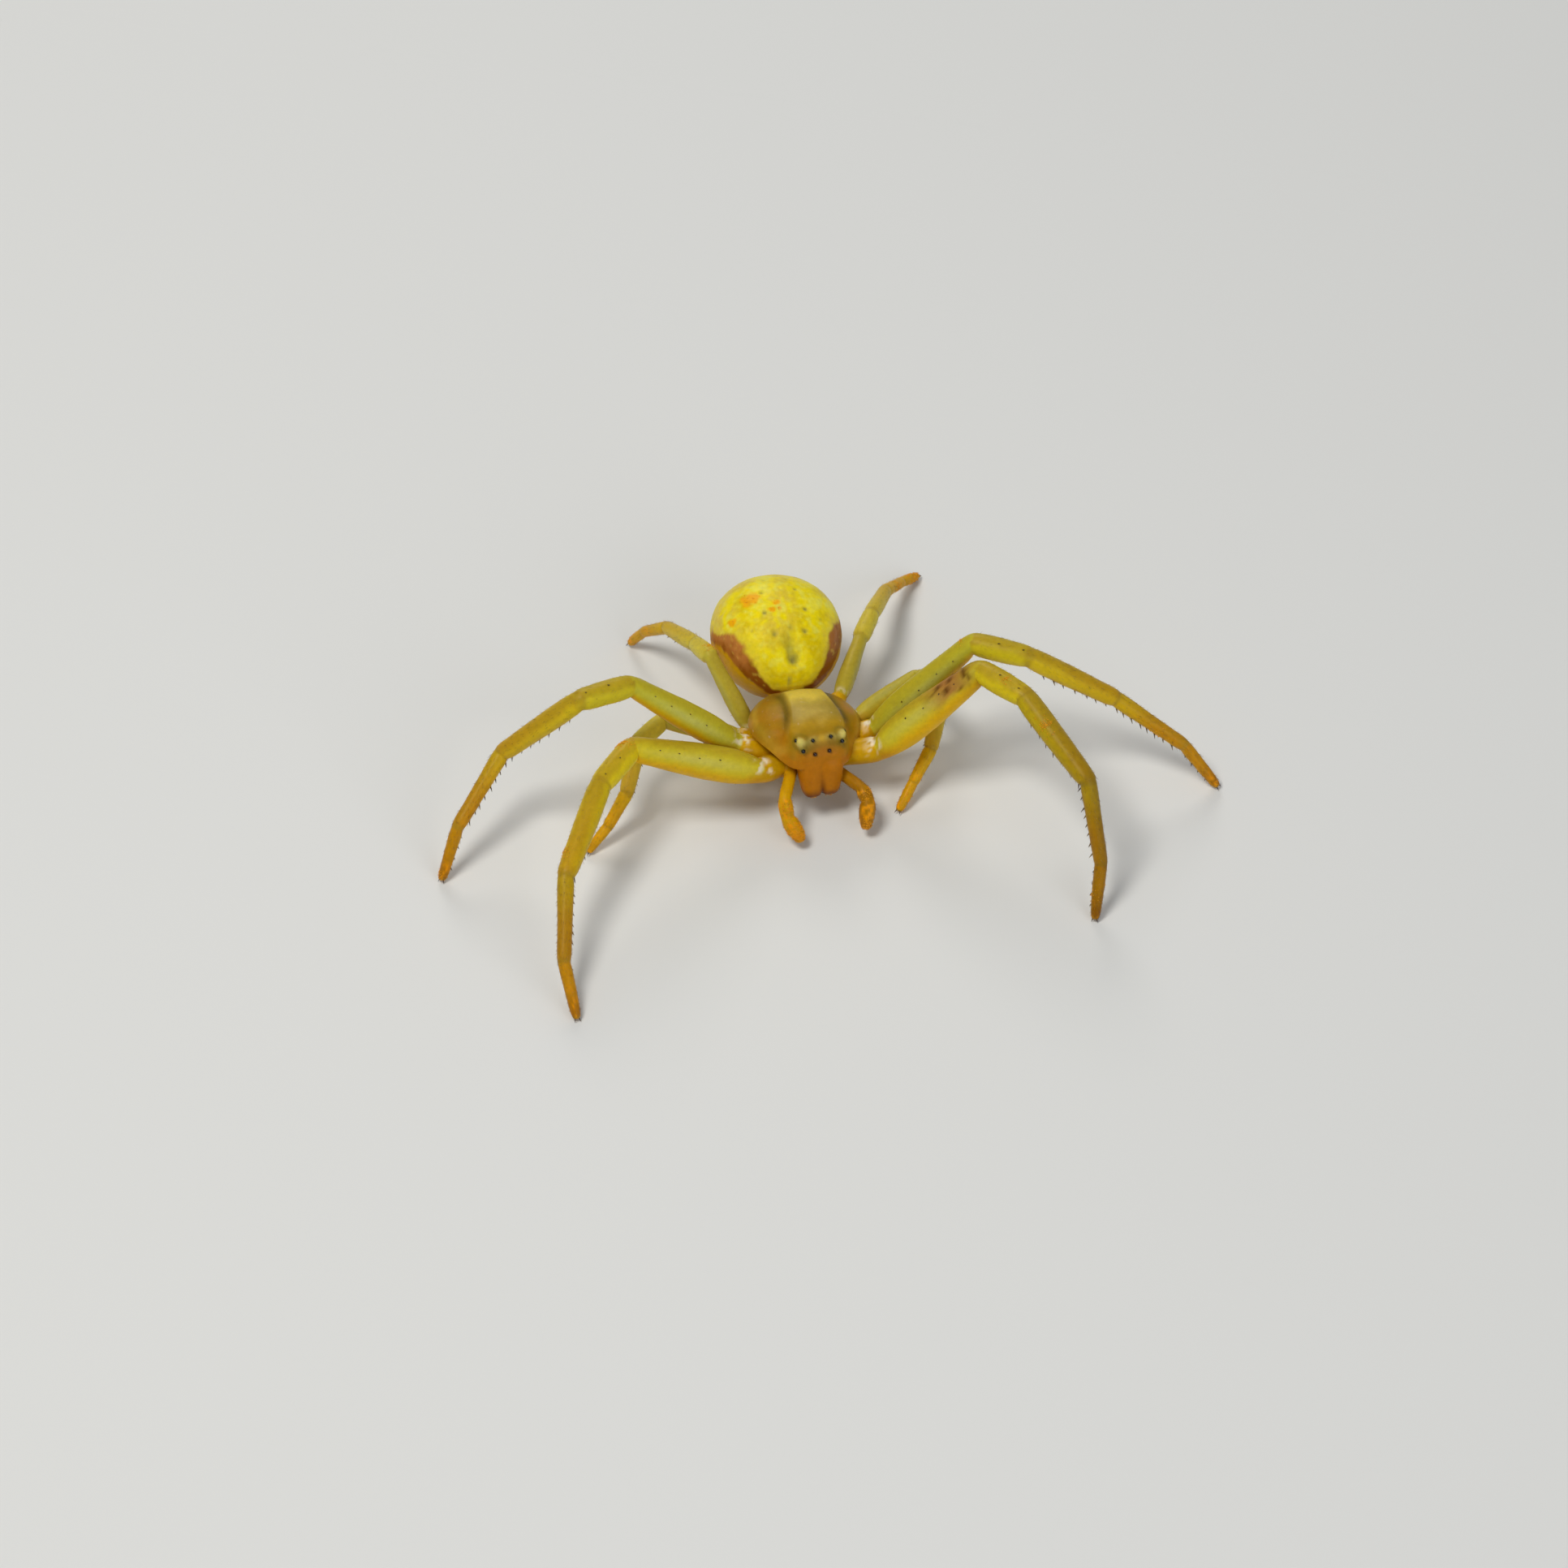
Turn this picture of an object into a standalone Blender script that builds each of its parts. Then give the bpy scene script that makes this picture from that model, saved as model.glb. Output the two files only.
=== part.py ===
"""Female crab spider, life size, standing still with its front legs spread.

Units are metres and +Z is up. The animal faces -Y and its left side is +X.
The feet stand on small flats at z = 0, and the origin is the middle of the
model's footprint. The body is drawn in millimetres about a point on the
floor below the carapace, then moved to that origin and scaled to metres.
"""
import math

import bmesh
import bpy
from mathutils import Matrix, Vector

MM = 0.001

# Driving sizes, in millimetres
GAP = 0.15
EYE_GAP = 0.02
BODY_OFFSET = (-0.17, 0.38)

CARAPACE_WIDTH = 2.88
CARAPACE_LENGTH = 2.84
CARAPACE_DOME = 0.62
HEAD_RISE = 0.15
HEAD_HALF_WIDTH = (0.52, 0.73)
HEAD_LEAN = 0.08
EYE_LEDGE = 0.05
CLYPEUS_DROP = 0.22
STERNUM_DEPTH = 0.62
RIM_HEIGHT = 1.65
NOSE_UP = math.radians(7)
PROSOMA_SHIFT = 0.06
PROSOMA_TURN = math.radians(2.5)
PROSOMA_ROLL = math.radians(8)

ABDOMEN_WIDTH = 3.34
ABDOMEN_LENGTH = 3.40
ABDOMEN_HEIGHT = 2.62
ABDOMEN_CENTRE = (0.0, 2.74, 2.14)
ABDOMEN_REAR_UP = math.radians(10)
ABDOMEN_ROLL = math.radians(7)

# Axis of the left chelicera from the face to its tip, both moved aside
# with the turned head, and (share of its length, radius, flatness) along it
CHELICERA_TOP = (0.29, -1.12, 1.72)
CHELICERA_TIP = (0.215, -1.50, 0.70)
CHELICERA_SHIFT = 0.08
CHELICERA_SHAPE = (
    (0.0, 0.30, 1.0), (0.18, 0.33, 1.0), (0.45, 0.325, 0.97), (0.70, 0.30, 0.93),
    (0.86, 0.255, 0.92), (0.95, 0.18, 0.95), (0.99, 0.09, 1.0),
)
FOOT_HEIGHT = 0.10
CLAW_TUFT_RADIUS = 0.12

# Lengths of femur, patella, tibia, metatarsus and tarsus of each leg pair
SEGMENT_LENGTHS = {
    1: (3.45, 1.45, 2.75, 2.15, 1.40),
    2: (3.50, 1.45, 2.70, 2.15, 1.40),
    3: (1.95, 0.90, 1.35, 0.95, 0.80),
    4: (2.05, 0.92, 1.55, 1.15, 0.85),
}

# Radii at the coxa, the thickest part of the femur, the knee, the tibia,
# the metatarsus and the tarsus of each leg pair
SEGMENT_RADII = {
    1: (0.29, 0.46, 0.31, 0.29, 0.21, 0.175),
    2: (0.28, 0.385, 0.30, 0.27, 0.205, 0.17),
    3: (0.23, 0.28, 0.24, 0.225, 0.18, 0.15),
    4: (0.23, 0.265, 0.235, 0.215, 0.175, 0.145),
}
LEG_SIDES = {1: 14, 2: 14, 3: 12, 4: 12}

# Where each coxa starts inside the sternum, on the left side
COXA_ROOTS = {
    1: (0.80, -0.72, 1.20),
    2: (0.95, -0.28, 1.18),
    3: (0.92, 0.20, 1.16),
    4: (0.70, 0.62, 1.18),
}

# Pose of each leg: coxa length, then heading and rise in degrees of the
# coxa, femur, patella, tibia and metatarsus, then the heading of the tarsus.
# Heading 0 is straight ahead and 90 is straight out to the leg's own side.
LEG_POSES = {
    (1, "left"): (1.02, (73, 15), (86, 43), (34, 3), (22, -17), (4, -59), -24),
    (2, "left"): (0.86, (90, 16), (91, 44), (60, -3), (76, -34), (59, -32), 49),
    (3, "left"): (0.56, (93, 20), (111, 14), (27, -13), (-26, -23), (-50, -38), -46),
    (4, "left"): (0.68, (116, 39), (151, 2), (148, -1), (151, -22), (141, -31), 131),
    (1, "right"): (0.67, (65, 19), (97, 21), (44, 2), (32, -12), (15, -32), -3),
    (2, "right"): (0.99, (97, 31), (99, 42), (75, 8), (102, -43), (51, -32), 44),
    (3, "right"): (0.73, (101, 19), (108, 12), (58, -7), (27, -27), (52, -37), 60),
    (4, "right"): (0.53, (100, 3), (155, 41), (168, -22), (162, -24), (149, -42), 140),
}

# Palp: base, knee, tibia and tip on the left side, and their radii
PALP_PATH = {
    "left": ((0.44, -0.76, 1.00), (1.06, -1.84, 1.04), (1.14, -2.16, 0.88), (0.97, -2.58, 0.32)),
    "right": ((0.44, -0.76, 1.24), (0.93, -1.80, 1.12), (0.92, -2.10, 0.70), (0.66, -2.55, 0.28)),
}
PALP_RADII = (0.165, 0.19, 0.205, 0.14)

# The eye rows lie a little aslant across the head
EYE_SLANT = 0.06
# Eyes on the carapace: distance from the middle, place along the carapace
# from its centre, lens radius, and radius of the tubercle they sit on
EYES = {
    "anterior_median": (0.19, -1.335, 0.058, 0.0),
    "anterior_lateral": (0.49, -1.25, 0.064, 0.09),
    "posterior_median": (0.235, -1.19, 0.056, 0.0),
    "posterior_lateral": (0.51, -1.13, 0.060, 0.15),
}
TUBERCLE_SHOWS = 0.62
LENS_SHOWS = 0.25

# Way the rear side eyes look: outwards, backwards and off the surface
SIDE_EYE_LOOK = (0.85, 0.55, 0.25)

# Name, sRGB-like linear colour and roughness of each part's surface
FINISHES = {
    "carapace": ((0.42, 0.22, 0.05), 0.38),
    "abdomen": ((0.80, 0.58, 0.04), 0.45),
    "chelicera": ((0.55, 0.25, 0.03), 0.35),
    "palp": ((0.60, 0.30, 0.04), 0.40),
    "femur": ((0.50, 0.42, 0.06), 0.35),
    "tibia": ((0.62, 0.45, 0.08), 0.38),
    "tarsus": ((0.52, 0.22, 0.04), 0.42),
    "spinnerets": ((0.50, 0.25, 0.05), 0.45),
    "eye": ((0.01, 0.01, 0.01), 0.08),
}


def side_sign(side):
    return 1 if side == "left" else -1


def clear_scene():
    for thing in list(bpy.data.objects):
        bpy.data.objects.remove(thing, do_unlink=True)


def finish_material(name, finish):
    colour, roughness = FINISHES[finish]
    material = bpy.data.materials.new(name)
    material.use_nodes = True
    shader = material.node_tree.nodes["Principled BSDF"]
    shader.inputs["Base Color"].default_value = (*colour, 1.0)
    shader.inputs["Roughness"].default_value = roughness
    shader.inputs["Metallic"].default_value = 0.0
    return material


def new_object(name, bm):
    """Turn a closed bmesh into an object of the scene."""
    bmesh.ops.recalc_face_normals(bm, faces=bm.faces)
    mesh = bpy.data.meshes.new(name)
    bm.to_mesh(mesh)
    bm.free()
    thing = bpy.data.objects.new(name, mesh)
    bpy.context.scene.collection.objects.link(thing)
    return thing


def apply_modifiers(thing):
    graph = bpy.context.evaluated_depsgraph_get()
    mesh = bpy.data.meshes.new_from_object(thing.evaluated_get(graph))
    thing.modifiers.clear()
    thing.data = mesh


def join_pieces(thing, pieces):
    """Fuse closed pieces into one body and remove them."""
    group = bpy.data.collections.new(thing.name + " pieces")
    bpy.context.scene.collection.children.link(group)
    for piece in pieces:
        bpy.context.scene.collection.objects.unlink(piece)
        group.objects.link(piece)
    union = thing.modifiers.new("Join", "BOOLEAN")
    union.operation = "UNION"
    union.operand_type = "COLLECTION"
    union.collection = group
    union.solver = "EXACT"
    apply_modifiers(thing)
    for piece in pieces:
        bpy.data.objects.remove(piece, do_unlink=True)
    bpy.data.collections.remove(group)
    keep_largest_shell(thing)


def cut_away(thing, cutter):
    """Take the cutter's space out of a body; the cutter stays."""
    cutter.hide_render = True
    cutter.display_type = "WIRE"
    difference = thing.modifiers.new("Part", "BOOLEAN")
    difference.operation = "DIFFERENCE"
    difference.object = cutter
    difference.solver = "EXACT"
    apply_modifiers(thing)
    keep_largest_shell(thing)


def shell_volume(faces):
    total = 0.0
    for face in faces:
        first = face.verts[0].co
        for second, third in zip(face.verts[1:-1], face.verts[2:]):
            total += first.dot(second.co.cross(third.co))
    return abs(total) / 6


def keep_largest_shell(thing):
    bm = bmesh.new()
    bm.from_mesh(thing.data)
    waiting = set(bm.faces)
    shells = []
    while waiting:
        stack = [waiting.pop()]
        shell = []
        while stack:
            face = stack.pop()
            shell.append(face)
            for edge in face.edges:
                for other in edge.link_faces:
                    if other in waiting:
                        waiting.remove(other)
                        stack.append(other)
        shells.append(shell)
    shells.sort(key=shell_volume, reverse=True)
    for shell in shells[1:]:
        bmesh.ops.delete(bm, geom=shell, context="FACES")
    bm.to_mesh(thing.data)
    bm.free()


def grown_copy(thing, distance):
    """A copy whose surface stands off by the distance, used to part neighbours."""
    bm = bmesh.new()
    bm.from_mesh(thing.data)
    bm.normal_update()
    normals = [vert.normal.copy() for vert in bm.verts]
    for vert, normal in zip(bm.verts, normals):
        vert.co += normal * distance
    return new_object(thing.name + " clearance", bm)


def ring_matrix(centre, along, up, radius, flatness=1.0):
    """Place a unit circle across a limb; flatness narrows it sideways."""
    axis = Vector(along).normalized()
    side = axis.cross(Vector(up)).normalized()
    top = side.cross(axis)
    turn = Matrix((side, top, axis)).transposed().to_4x4()
    size = Matrix.Diagonal((radius * flatness, radius, 1.0, 1.0))
    return Matrix.Translation(Vector(centre)) @ turn @ size


def swept_body(name, rings, sides):
    """Extrude a circle through a row of ring matrices into a closed limb."""
    bm = bmesh.new()
    bmesh.ops.create_circle(bm, cap_ends=True, radius=1.0, segments=sides, matrix=rings[0])
    start = face = bm.faces[:][0]
    for last, following in zip(rings, rings[1:]):
        grown = bmesh.ops.extrude_face_region(bm, geom=[face])
        if face is not start:
            bmesh.ops.delete(bm, geom=[face], context="FACES_ONLY")
        face = [item for item in grown["geom"] if isinstance(item, bmesh.types.BMFace)][0]
        bmesh.ops.transform(bm, matrix=following @ last.inverted(), verts=face.verts)
    return new_object(name, bm)


def direction(heading, rise, side):
    turn = math.radians(heading)
    lift = math.radians(rise)
    level = math.cos(lift)
    return Vector((
        side_sign(side) * math.sin(turn) * level,
        -math.cos(turn) * level,
        math.sin(lift),
    ))


def leg_joints(pair, side):
    """Joint centres of a leg from its root in the body to its foot."""
    coxa_length, *bends, tarsus_heading = LEG_POSES[(pair, side)]
    root = Vector(COXA_ROOTS[pair])
    root.x *= side_sign(side)
    lengths = (coxa_length, *SEGMENT_LENGTHS[pair])
    joints = [root]
    for length, (heading, rise) in zip(lengths, bends):
        joints.append(joints[-1] + direction(heading, rise, side) * length)
    drop = (FOOT_HEIGHT - joints[-1].z) / lengths[-1]
    rise = math.degrees(math.asin(max(-1.0, drop)))
    joints.append(joints[-1] + direction(tarsus_heading, rise, side) * lengths[-1])
    return joints


def bend_axis(before, after):
    """Direction across a joint, halfway between the two limbs."""
    return (before.normalized() + after.normalized()).normalized()


def leg_rings(start, end, stations, first_axis, last_axis):
    """Rings of one straight segment at (share of its length, radius) stations."""
    rings = []
    along = (end - start).normalized()
    for share, radius, flatness in stations:
        if share <= 0.02 and first_axis is not None:
            axis = first_axis
        elif share >= 0.98 and last_axis is not None:
            axis = last_axis
        else:
            axis = along
        rings.append((start.lerp(end, share), axis, radius, flatness))
    return rings


def placed_rings(rings):
    """Turn ring descriptions into matrices whose tops all face up."""
    return [ring_matrix(centre, axis, (0.0, 0.0, 1.0), radius, flatness)
            for centre, axis, radius, flatness in rings]


def shifted(ring, distance):
    centre, axis, radius, flatness = ring
    return centre + axis * distance, axis, radius, flatness


def leg(pair, side):
    """Coxa to femur, patella to tibia and metatarsus to tarsus of one leg."""
    root, hip, knee, shin, ankle, toe, foot = leg_joints(pair, side)
    coxa, femur, knob, tibia, meta, tarsus = SEGMENT_RADII[pair]
    hip_axis = bend_axis(hip - root, knee - hip)
    knee_axis = bend_axis(knee - hip, shin - knee)
    shin_axis = bend_axis(shin - knee, ankle - shin)
    ankle_axis = bend_axis(ankle - shin, toe - ankle)
    toe_axis = bend_axis(toe - ankle, foot - toe)

    upper = leg_rings(root, hip, (
        (0.0, coxa * 0.95, 1.0), (0.35, coxa, 1.0), (0.70, coxa * 1.03, 1.0), (1.0, femur * 0.68, 1.0),
    ), None, hip_axis)
    upper += leg_rings(hip, knee, (
        (0.07, femur * 0.78, 0.99), (0.15, femur * 0.91, 0.93), (0.28, femur, 0.90),
        (0.44, femur * 0.98, 0.90), (0.60, femur * 0.91, 0.92), (0.76, femur * 0.81, 0.95),
        (0.90, femur * 0.73, 1.0), (1.0, femur * 0.67, 1.0),
    ), None, knee_axis)
    upper[-1] = shifted(upper[-1], -GAP / 2)

    middle = leg_rings(knee, shin, (
        (0.0, knob * 0.94, 1.0), (0.14, knob * 1.02, 1.0), (0.45, knob * 1.06, 1.0),
        (0.80, knob, 1.0), (1.0, tibia * 0.94, 1.0),
    ), knee_axis, shin_axis)
    middle[0] = shifted(middle[0], GAP / 2)
    middle += leg_rings(shin, ankle, (
        (0.08, tibia * 1.03, 1.0), (0.30, tibia * 1.07, 0.98), (0.60, tibia, 0.98),
        (0.86, tibia * 0.92, 1.0), (1.0, tibia * 0.80, 1.0),
    ), None, ankle_axis)
    middle[-1] = shifted(middle[-1], -GAP / 2)

    lower = leg_rings(ankle, toe, (
        (0.0, meta * 1.02, 1.0), (0.12, meta * 1.09, 1.0), (0.40, meta, 1.0),
        (0.80, meta * 0.93, 1.0), (1.0, tarsus * 0.94, 1.0),
    ), ankle_axis, toe_axis)
    lower[0] = shifted(lower[0], GAP / 2)
    lower += leg_rings(toe, foot, (
        (0.12, tarsus, 1.0), (0.45, tarsus * 0.95, 1.0), (0.75, tarsus * 0.86, 1.0),
        (1.0, CLAW_TUFT_RADIUS, 1.0), (1.05, CLAW_TUFT_RADIUS * 0.55, 1.0),
    ), None, None)

    name = "leg_%d_%s_" % (pair, side)
    return (
        swept_body(name + "femur", placed_rings(upper), LEG_SIDES[pair]),
        swept_body(name + "tibia", placed_rings(middle), LEG_SIDES[pair]),
        swept_body(name + "tarsus", placed_rings(lower), LEG_SIDES[pair]),
    )


def flatten_foot(thing):
    """Slice a foot flat at the floor."""
    bm = bmesh.new()
    bm.from_mesh(thing.data)
    everything = bm.verts[:] + bm.edges[:] + bm.faces[:]
    cut = bmesh.ops.bisect_plane(
        bm, geom=everything, dist=1e-4, plane_co=(0, 0, 0), plane_no=(0, 0, -1), clear_outer=True,
    )
    rim = [item for item in cut["geom_cut"] if isinstance(item, bmesh.types.BMEdge)]
    bmesh.ops.holes_fill(bm, edges=rim, sides=0)
    bmesh.ops.recalc_face_normals(bm, faces=bm.faces)
    bm.to_mesh(thing.data)
    bm.free()


def prosoma_place():
    """Carapace frame: at the rim's height, nose raised, a little turned and rolled."""
    return (Matrix.Translation((PROSOMA_SHIFT, 0, RIM_HEIGHT))
            @ Matrix.Rotation(PROSOMA_TURN, 4, "Z")
            @ Matrix.Rotation(PROSOMA_ROLL, 4, "Y")
            @ Matrix.Rotation(-NOSE_UP, 4, "X"))


def signed_power(value, power):
    return math.copysign(abs(value) ** power, value)


def smooth_step(low, high, value):
    share = min(1.0, max(0.0, (value - low) / (high - low)))
    return share * share * (3 - 2 * share)


def hump(middle, width, value):
    """1 at the middle, falling smoothly to 0 about two widths away."""
    return math.exp(-((value - middle) / width) ** 2)


def head_share(x, y):
    """1 on the raised head, 0 beside it; the head widens towards the face and
    its midline leans aside behind the face."""
    rear, front = HEAD_HALF_WIDTH
    half_width = rear + (front - rear) * smooth_step(0.6, -0.9, y)
    aside = abs(x - HEAD_LEAN * smooth_step(-1.0, -0.2, y))
    return smooth_step(half_width + 0.10, half_width - 0.04, aside) * smooth_step(1.12, 0.62, y)


def rim_share(way_x, way_y):
    """Share of the rim's ellipse in each direction: square shoulders beside
    the face and straighter sides behind them."""
    bearing = math.degrees(math.atan2(abs(way_x), -way_y))
    return 1 + 0.05 * hump(24, 13, bearing) - 0.07 * hump(55, 19, bearing)


def carapace_point(unit):
    """Map a point of the unit sphere to the prosoma's surface, in mm."""
    flat = max(math.hypot(unit.x, unit.y), 1e-9)
    way_x, way_y = unit.x / flat, unit.y / flat
    share = rim_share(way_x, way_y)
    front = smooth_step(0.25, 0.95, -way_y)
    rear = smooth_step(0.2, 0.9, way_y)
    reach = flat ** (0.62 if unit.z >= 0 else 1.6)
    x = CARAPACE_WIDTH / 2 * way_x * share * reach
    y = CARAPACE_LENGTH / 2 * way_y * share * reach
    drop = CLYPEUS_DROP * front * smooth_step(0.76, 1.0, reach)
    if unit.z < 0:
        below = STERNUM_DEPTH * max(0.0, 1 - flat ** 2) ** 0.7
        return Vector((x, y, -below - drop * smooth_step(0.5, 1.0, reach)))
    boxy = 2.2 + 0.9 * front - 0.3 * rear
    blunt = 2.0 + 0.3 * front - 0.3 * rear
    dome = CARAPACE_DOME * max(0.0, 1 - reach ** boxy) ** (1 / blunt)
    rise = HEAD_RISE * head_share(x, y) * smooth_step(0.0, 0.25, dome)
    ledge = smooth_step(-1.02, -1.30, y) * smooth_step(0.80, 0.55, abs(x)) * smooth_step(0.1, 0.3, dome)
    return Vector((x, y, dome + rise - EYE_LEDGE * ledge - drop))


def carapace_at(x, y):
    """Point on top of the carapace at a place in plan, found by halving."""
    angle = math.atan2(x, y)
    low, high = 0.0, math.pi / 2
    for _ in range(30):
        middle = (low + high) / 2
        spread = math.cos(middle)
        point = carapace_point(Vector((
            math.sin(angle) * spread, math.cos(angle) * spread, math.sin(middle),
        )))
        if math.hypot(point.x, point.y) > math.hypot(x, y):
            low = middle
        else:
            high = middle
    return point


def mapped_sphere(name, across, around, rule, place):
    bm = bmesh.new()
    bmesh.ops.create_uvsphere(bm, u_segments=around, v_segments=across, radius=1.0)
    for vert in bm.verts:
        vert.co = place @ rule(vert.co.copy())
    return new_object(name, bm)


def ball(name, centre, radius, place, around=12, across=8):
    bm = bmesh.new()
    move = place @ Matrix.Translation(centre)
    bmesh.ops.create_uvsphere(
        bm, u_segments=around, v_segments=across, radius=radius, matrix=move,
    )
    return new_object(name, bm)


def eye_centre(kind, side):
    """Centre of a lens, and of the tubercle below it, in the carapace frame."""
    across, along, radius, tubercle = EYES[kind]
    sign = side_sign(side)
    along += EYE_SLANT * across * sign
    ground = carapace_at(across * sign, along)
    near = 0.05
    along_x = carapace_at(across * sign + near, along) - carapace_at(across * sign - near, along)
    along_y = carapace_at(across * sign, along + near) - carapace_at(across * sign, along - near)
    normal = along_x.cross(along_y).normalized()
    look = normal
    if kind == "posterior_lateral":
        outward, backward, off = SIDE_EYE_LOOK
        look = (normal * off + Vector((outward * sign, backward, 0.0))).normalized()
    lens = ground + normal * tubercle * 0.12 + look * (tubercle * TUBERCLE_SHOWS + radius * LENS_SHOWS)
    mound = ground + normal * tubercle * (TUBERCLE_SHOWS - 1)
    return lens, mound


def shield(name):
    """The carapace and sternum without the eyes."""
    return mapped_sphere(name, 28, 44, carapace_point, prosoma_place())


def cephalothorax():
    place = prosoma_place()
    body = shield("cephalothorax")
    pieces = []
    for kind, (_, _, _, tubercle) in EYES.items():
        for side in ("left", "right"):
            if tubercle > 0:
                mound = eye_centre(kind, side)[1]
                pieces.append(ball("tubercle", mound, tubercle, place))
    join_pieces(body, pieces)
    return body


def eyes(body):
    """Eight lenses, each in a socket of its own size in the head."""
    place = prosoma_place()
    lenses = []
    for kind, (_, _, radius, _) in EYES.items():
        for side in ("left", "right"):
            centre = eye_centre(kind, side)[0]
            lenses.append(ball("eye_%s_%s" % (kind, side), centre, radius, place, 12, 8))
            socket = ball("socket", centre, radius + EYE_GAP, place, 12, 8)
            cut_away(body, socket)
            bpy.data.objects.remove(socket, do_unlink=True)
    return lenses


def abdomen_point(unit):
    """Map a point of the unit sphere to the abdomen, widest behind its middle."""
    widen = 1.0 + 0.07 * unit.y - 0.05 * unit.y ** 2
    x = ABDOMEN_WIDTH / 2 * signed_power(unit.x, 0.94) * widen
    y = ABDOMEN_LENGTH / 2 * signed_power(unit.y, 0.96)
    z = ABDOMEN_HEIGHT / 2 * signed_power(unit.z, 0.95)
    if unit.z < 0:
        z *= 0.94
    return Vector((x, y, z))


def abdomen_place():
    return (Matrix.Translation(ABDOMEN_CENTRE)
            @ Matrix.Rotation(ABDOMEN_ROLL, 4, "Y")
            @ Matrix.Rotation(ABDOMEN_REAR_UP, 4, "X"))


def abdomen():
    return mapped_sphere("abdomen", 22, 32, abdomen_point, abdomen_place())


def spinnerets():
    """Three pairs of short cones on a low ring below the abdomen's rear."""
    place = abdomen_place()
    seat = Vector((0, 1.50, -0.62))
    out = Vector((0, 0.80, -0.60)).normalized()
    rings = [ring_matrix(seat + out * reach, out, (0, 0, 1), radius)
             for reach, radius in ((-0.20, 0.30), (0.08, 0.30), (0.16, 0.22))]
    body = swept_body("spinnerets", rings, 12)
    pieces = []
    for number, (across, lift) in enumerate(((0.13, 0.10), (0.16, -0.04), (0.08, -0.15))):
        for sign in (-1, 1):
            start = seat + Vector((across * sign, lift * 0.6, lift * 0.8))
            lean = (out + Vector((0.20 * sign, 0, lift * 0.8))).normalized()
            cone = [ring_matrix(start + lean * reach, lean, (0, 0, 1), radius)
                    for reach, radius in ((0.0, 0.085), (0.26, 0.08), (0.36 - number * 0.03, 0.05))]
            pieces.append(swept_body("spinneret", cone, 8))
    join_pieces(body, pieces)
    body.data.transform(place)
    return body


def chelicera(side):
    """Stout basal segment of a jaw, narrowing to a blunt tip."""
    top = Vector(CHELICERA_TOP)
    tip = Vector(CHELICERA_TIP)
    for end in (top, tip):
        end.x = end.x * side_sign(side) + CHELICERA_SHIFT
    rings = [ring_matrix(top.lerp(tip, share), tip - top, (0, -1, 0), radius, flatness)
             for share, radius, flatness in CHELICERA_SHAPE]
    return swept_body("chelicera_" + side, rings, 14)


def middle_slab():
    """Upright sheet of the gap's width that parts the two jaws."""
    _, along, up = CHELICERA_TOP
    place = Matrix.Translation((CHELICERA_SHIFT, along, up))
    shape = Matrix.Diagonal((GAP, CARAPACE_WIDTH, CARAPACE_WIDTH, 1.0))
    bm = bmesh.new()
    bmesh.ops.create_cube(bm, size=1.0, matrix=place @ shape)
    return new_object("middle slab", bm)


def palp(side):
    sign = side_sign(side)
    points = [Vector((x * sign, y, z)) for x, y, z in PALP_PATH[side]]
    base, knee, shin, tip = points
    thick_base, thick_knee, thick_shin, thick_tip = PALP_RADII
    knee_axis = bend_axis(knee - base, shin - knee)
    shin_axis = bend_axis(shin - knee, tip - shin)
    rings = leg_rings(base, knee, (
        (0.0, thick_base, 1.0), (0.45, thick_base * 0.97, 1.0), (0.85, thick_base * 1.03, 1.0),
        (1.0, thick_knee * 0.96, 1.0),
    ), None, knee_axis)
    rings += leg_rings(knee, shin, (
        (0.5, thick_knee * 1.02, 1.0), (1.0, thick_shin * 0.94, 1.0),
    ), None, shin_axis)
    rings += leg_rings(shin, tip, (
        (0.25, thick_shin * 1.06, 1.0), (0.60, thick_shin * 0.97, 1.0), (0.86, thick_tip * 1.05, 1.0),
        (1.0, thick_tip * 0.6, 1.0),
    ), None, None)
    return swept_body("palp_" + side, placed_rings(rings), 12)


def finish_for(name):
    for word in ("eye", "chelicera", "palp", "femur", "tibia", "tarsus", "spinnerets", "abdomen"):
        if word in name:
            return word
    return "carapace"


def dress(thing):
    """Give a node its material, smooth its round sides and move it to the origin."""
    thing.data.materials.clear()
    thing.data.materials.append(finish_material(thing.name + " surface", finish_for(thing.name)))
    to_origin = Matrix.Translation((*BODY_OFFSET, 0))
    thing.data.transform(Matrix.Scale(MM, 4) @ to_origin)
    thing.data.shade_smooth()
    thing.data.set_sharp_from_angle(angle=math.radians(50))


def part_from(thing, neighbours):
    """Cut a body clear of its neighbours by the usual gap."""
    for neighbour in neighbours:
        clearance = grown_copy(neighbour, GAP)
        cut_away(thing, clearance)
        bpy.data.objects.remove(clearance, do_unlink=True)


def mouthparts(side, slab):
    """Chelicera and palp of one side, clear of each other."""
    jaw = chelicera(side)
    cut_away(jaw, slab)
    feeler = palp(side)
    part_from(feeler, [jaw])
    return jaw, feeler


def legs(side):
    """Three solids for each of four legs, with the thighs clear of each other."""
    made = {}
    for pair in SEGMENT_LENGTHS:
        femur, tibia, tarsus = leg(pair, side)
        flatten_foot(tarsus)
        if pair > 1:
            part_from(femur, [made[pair - 1][0]])
        made[pair] = (femur, tibia, tarsus)
    return made


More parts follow.
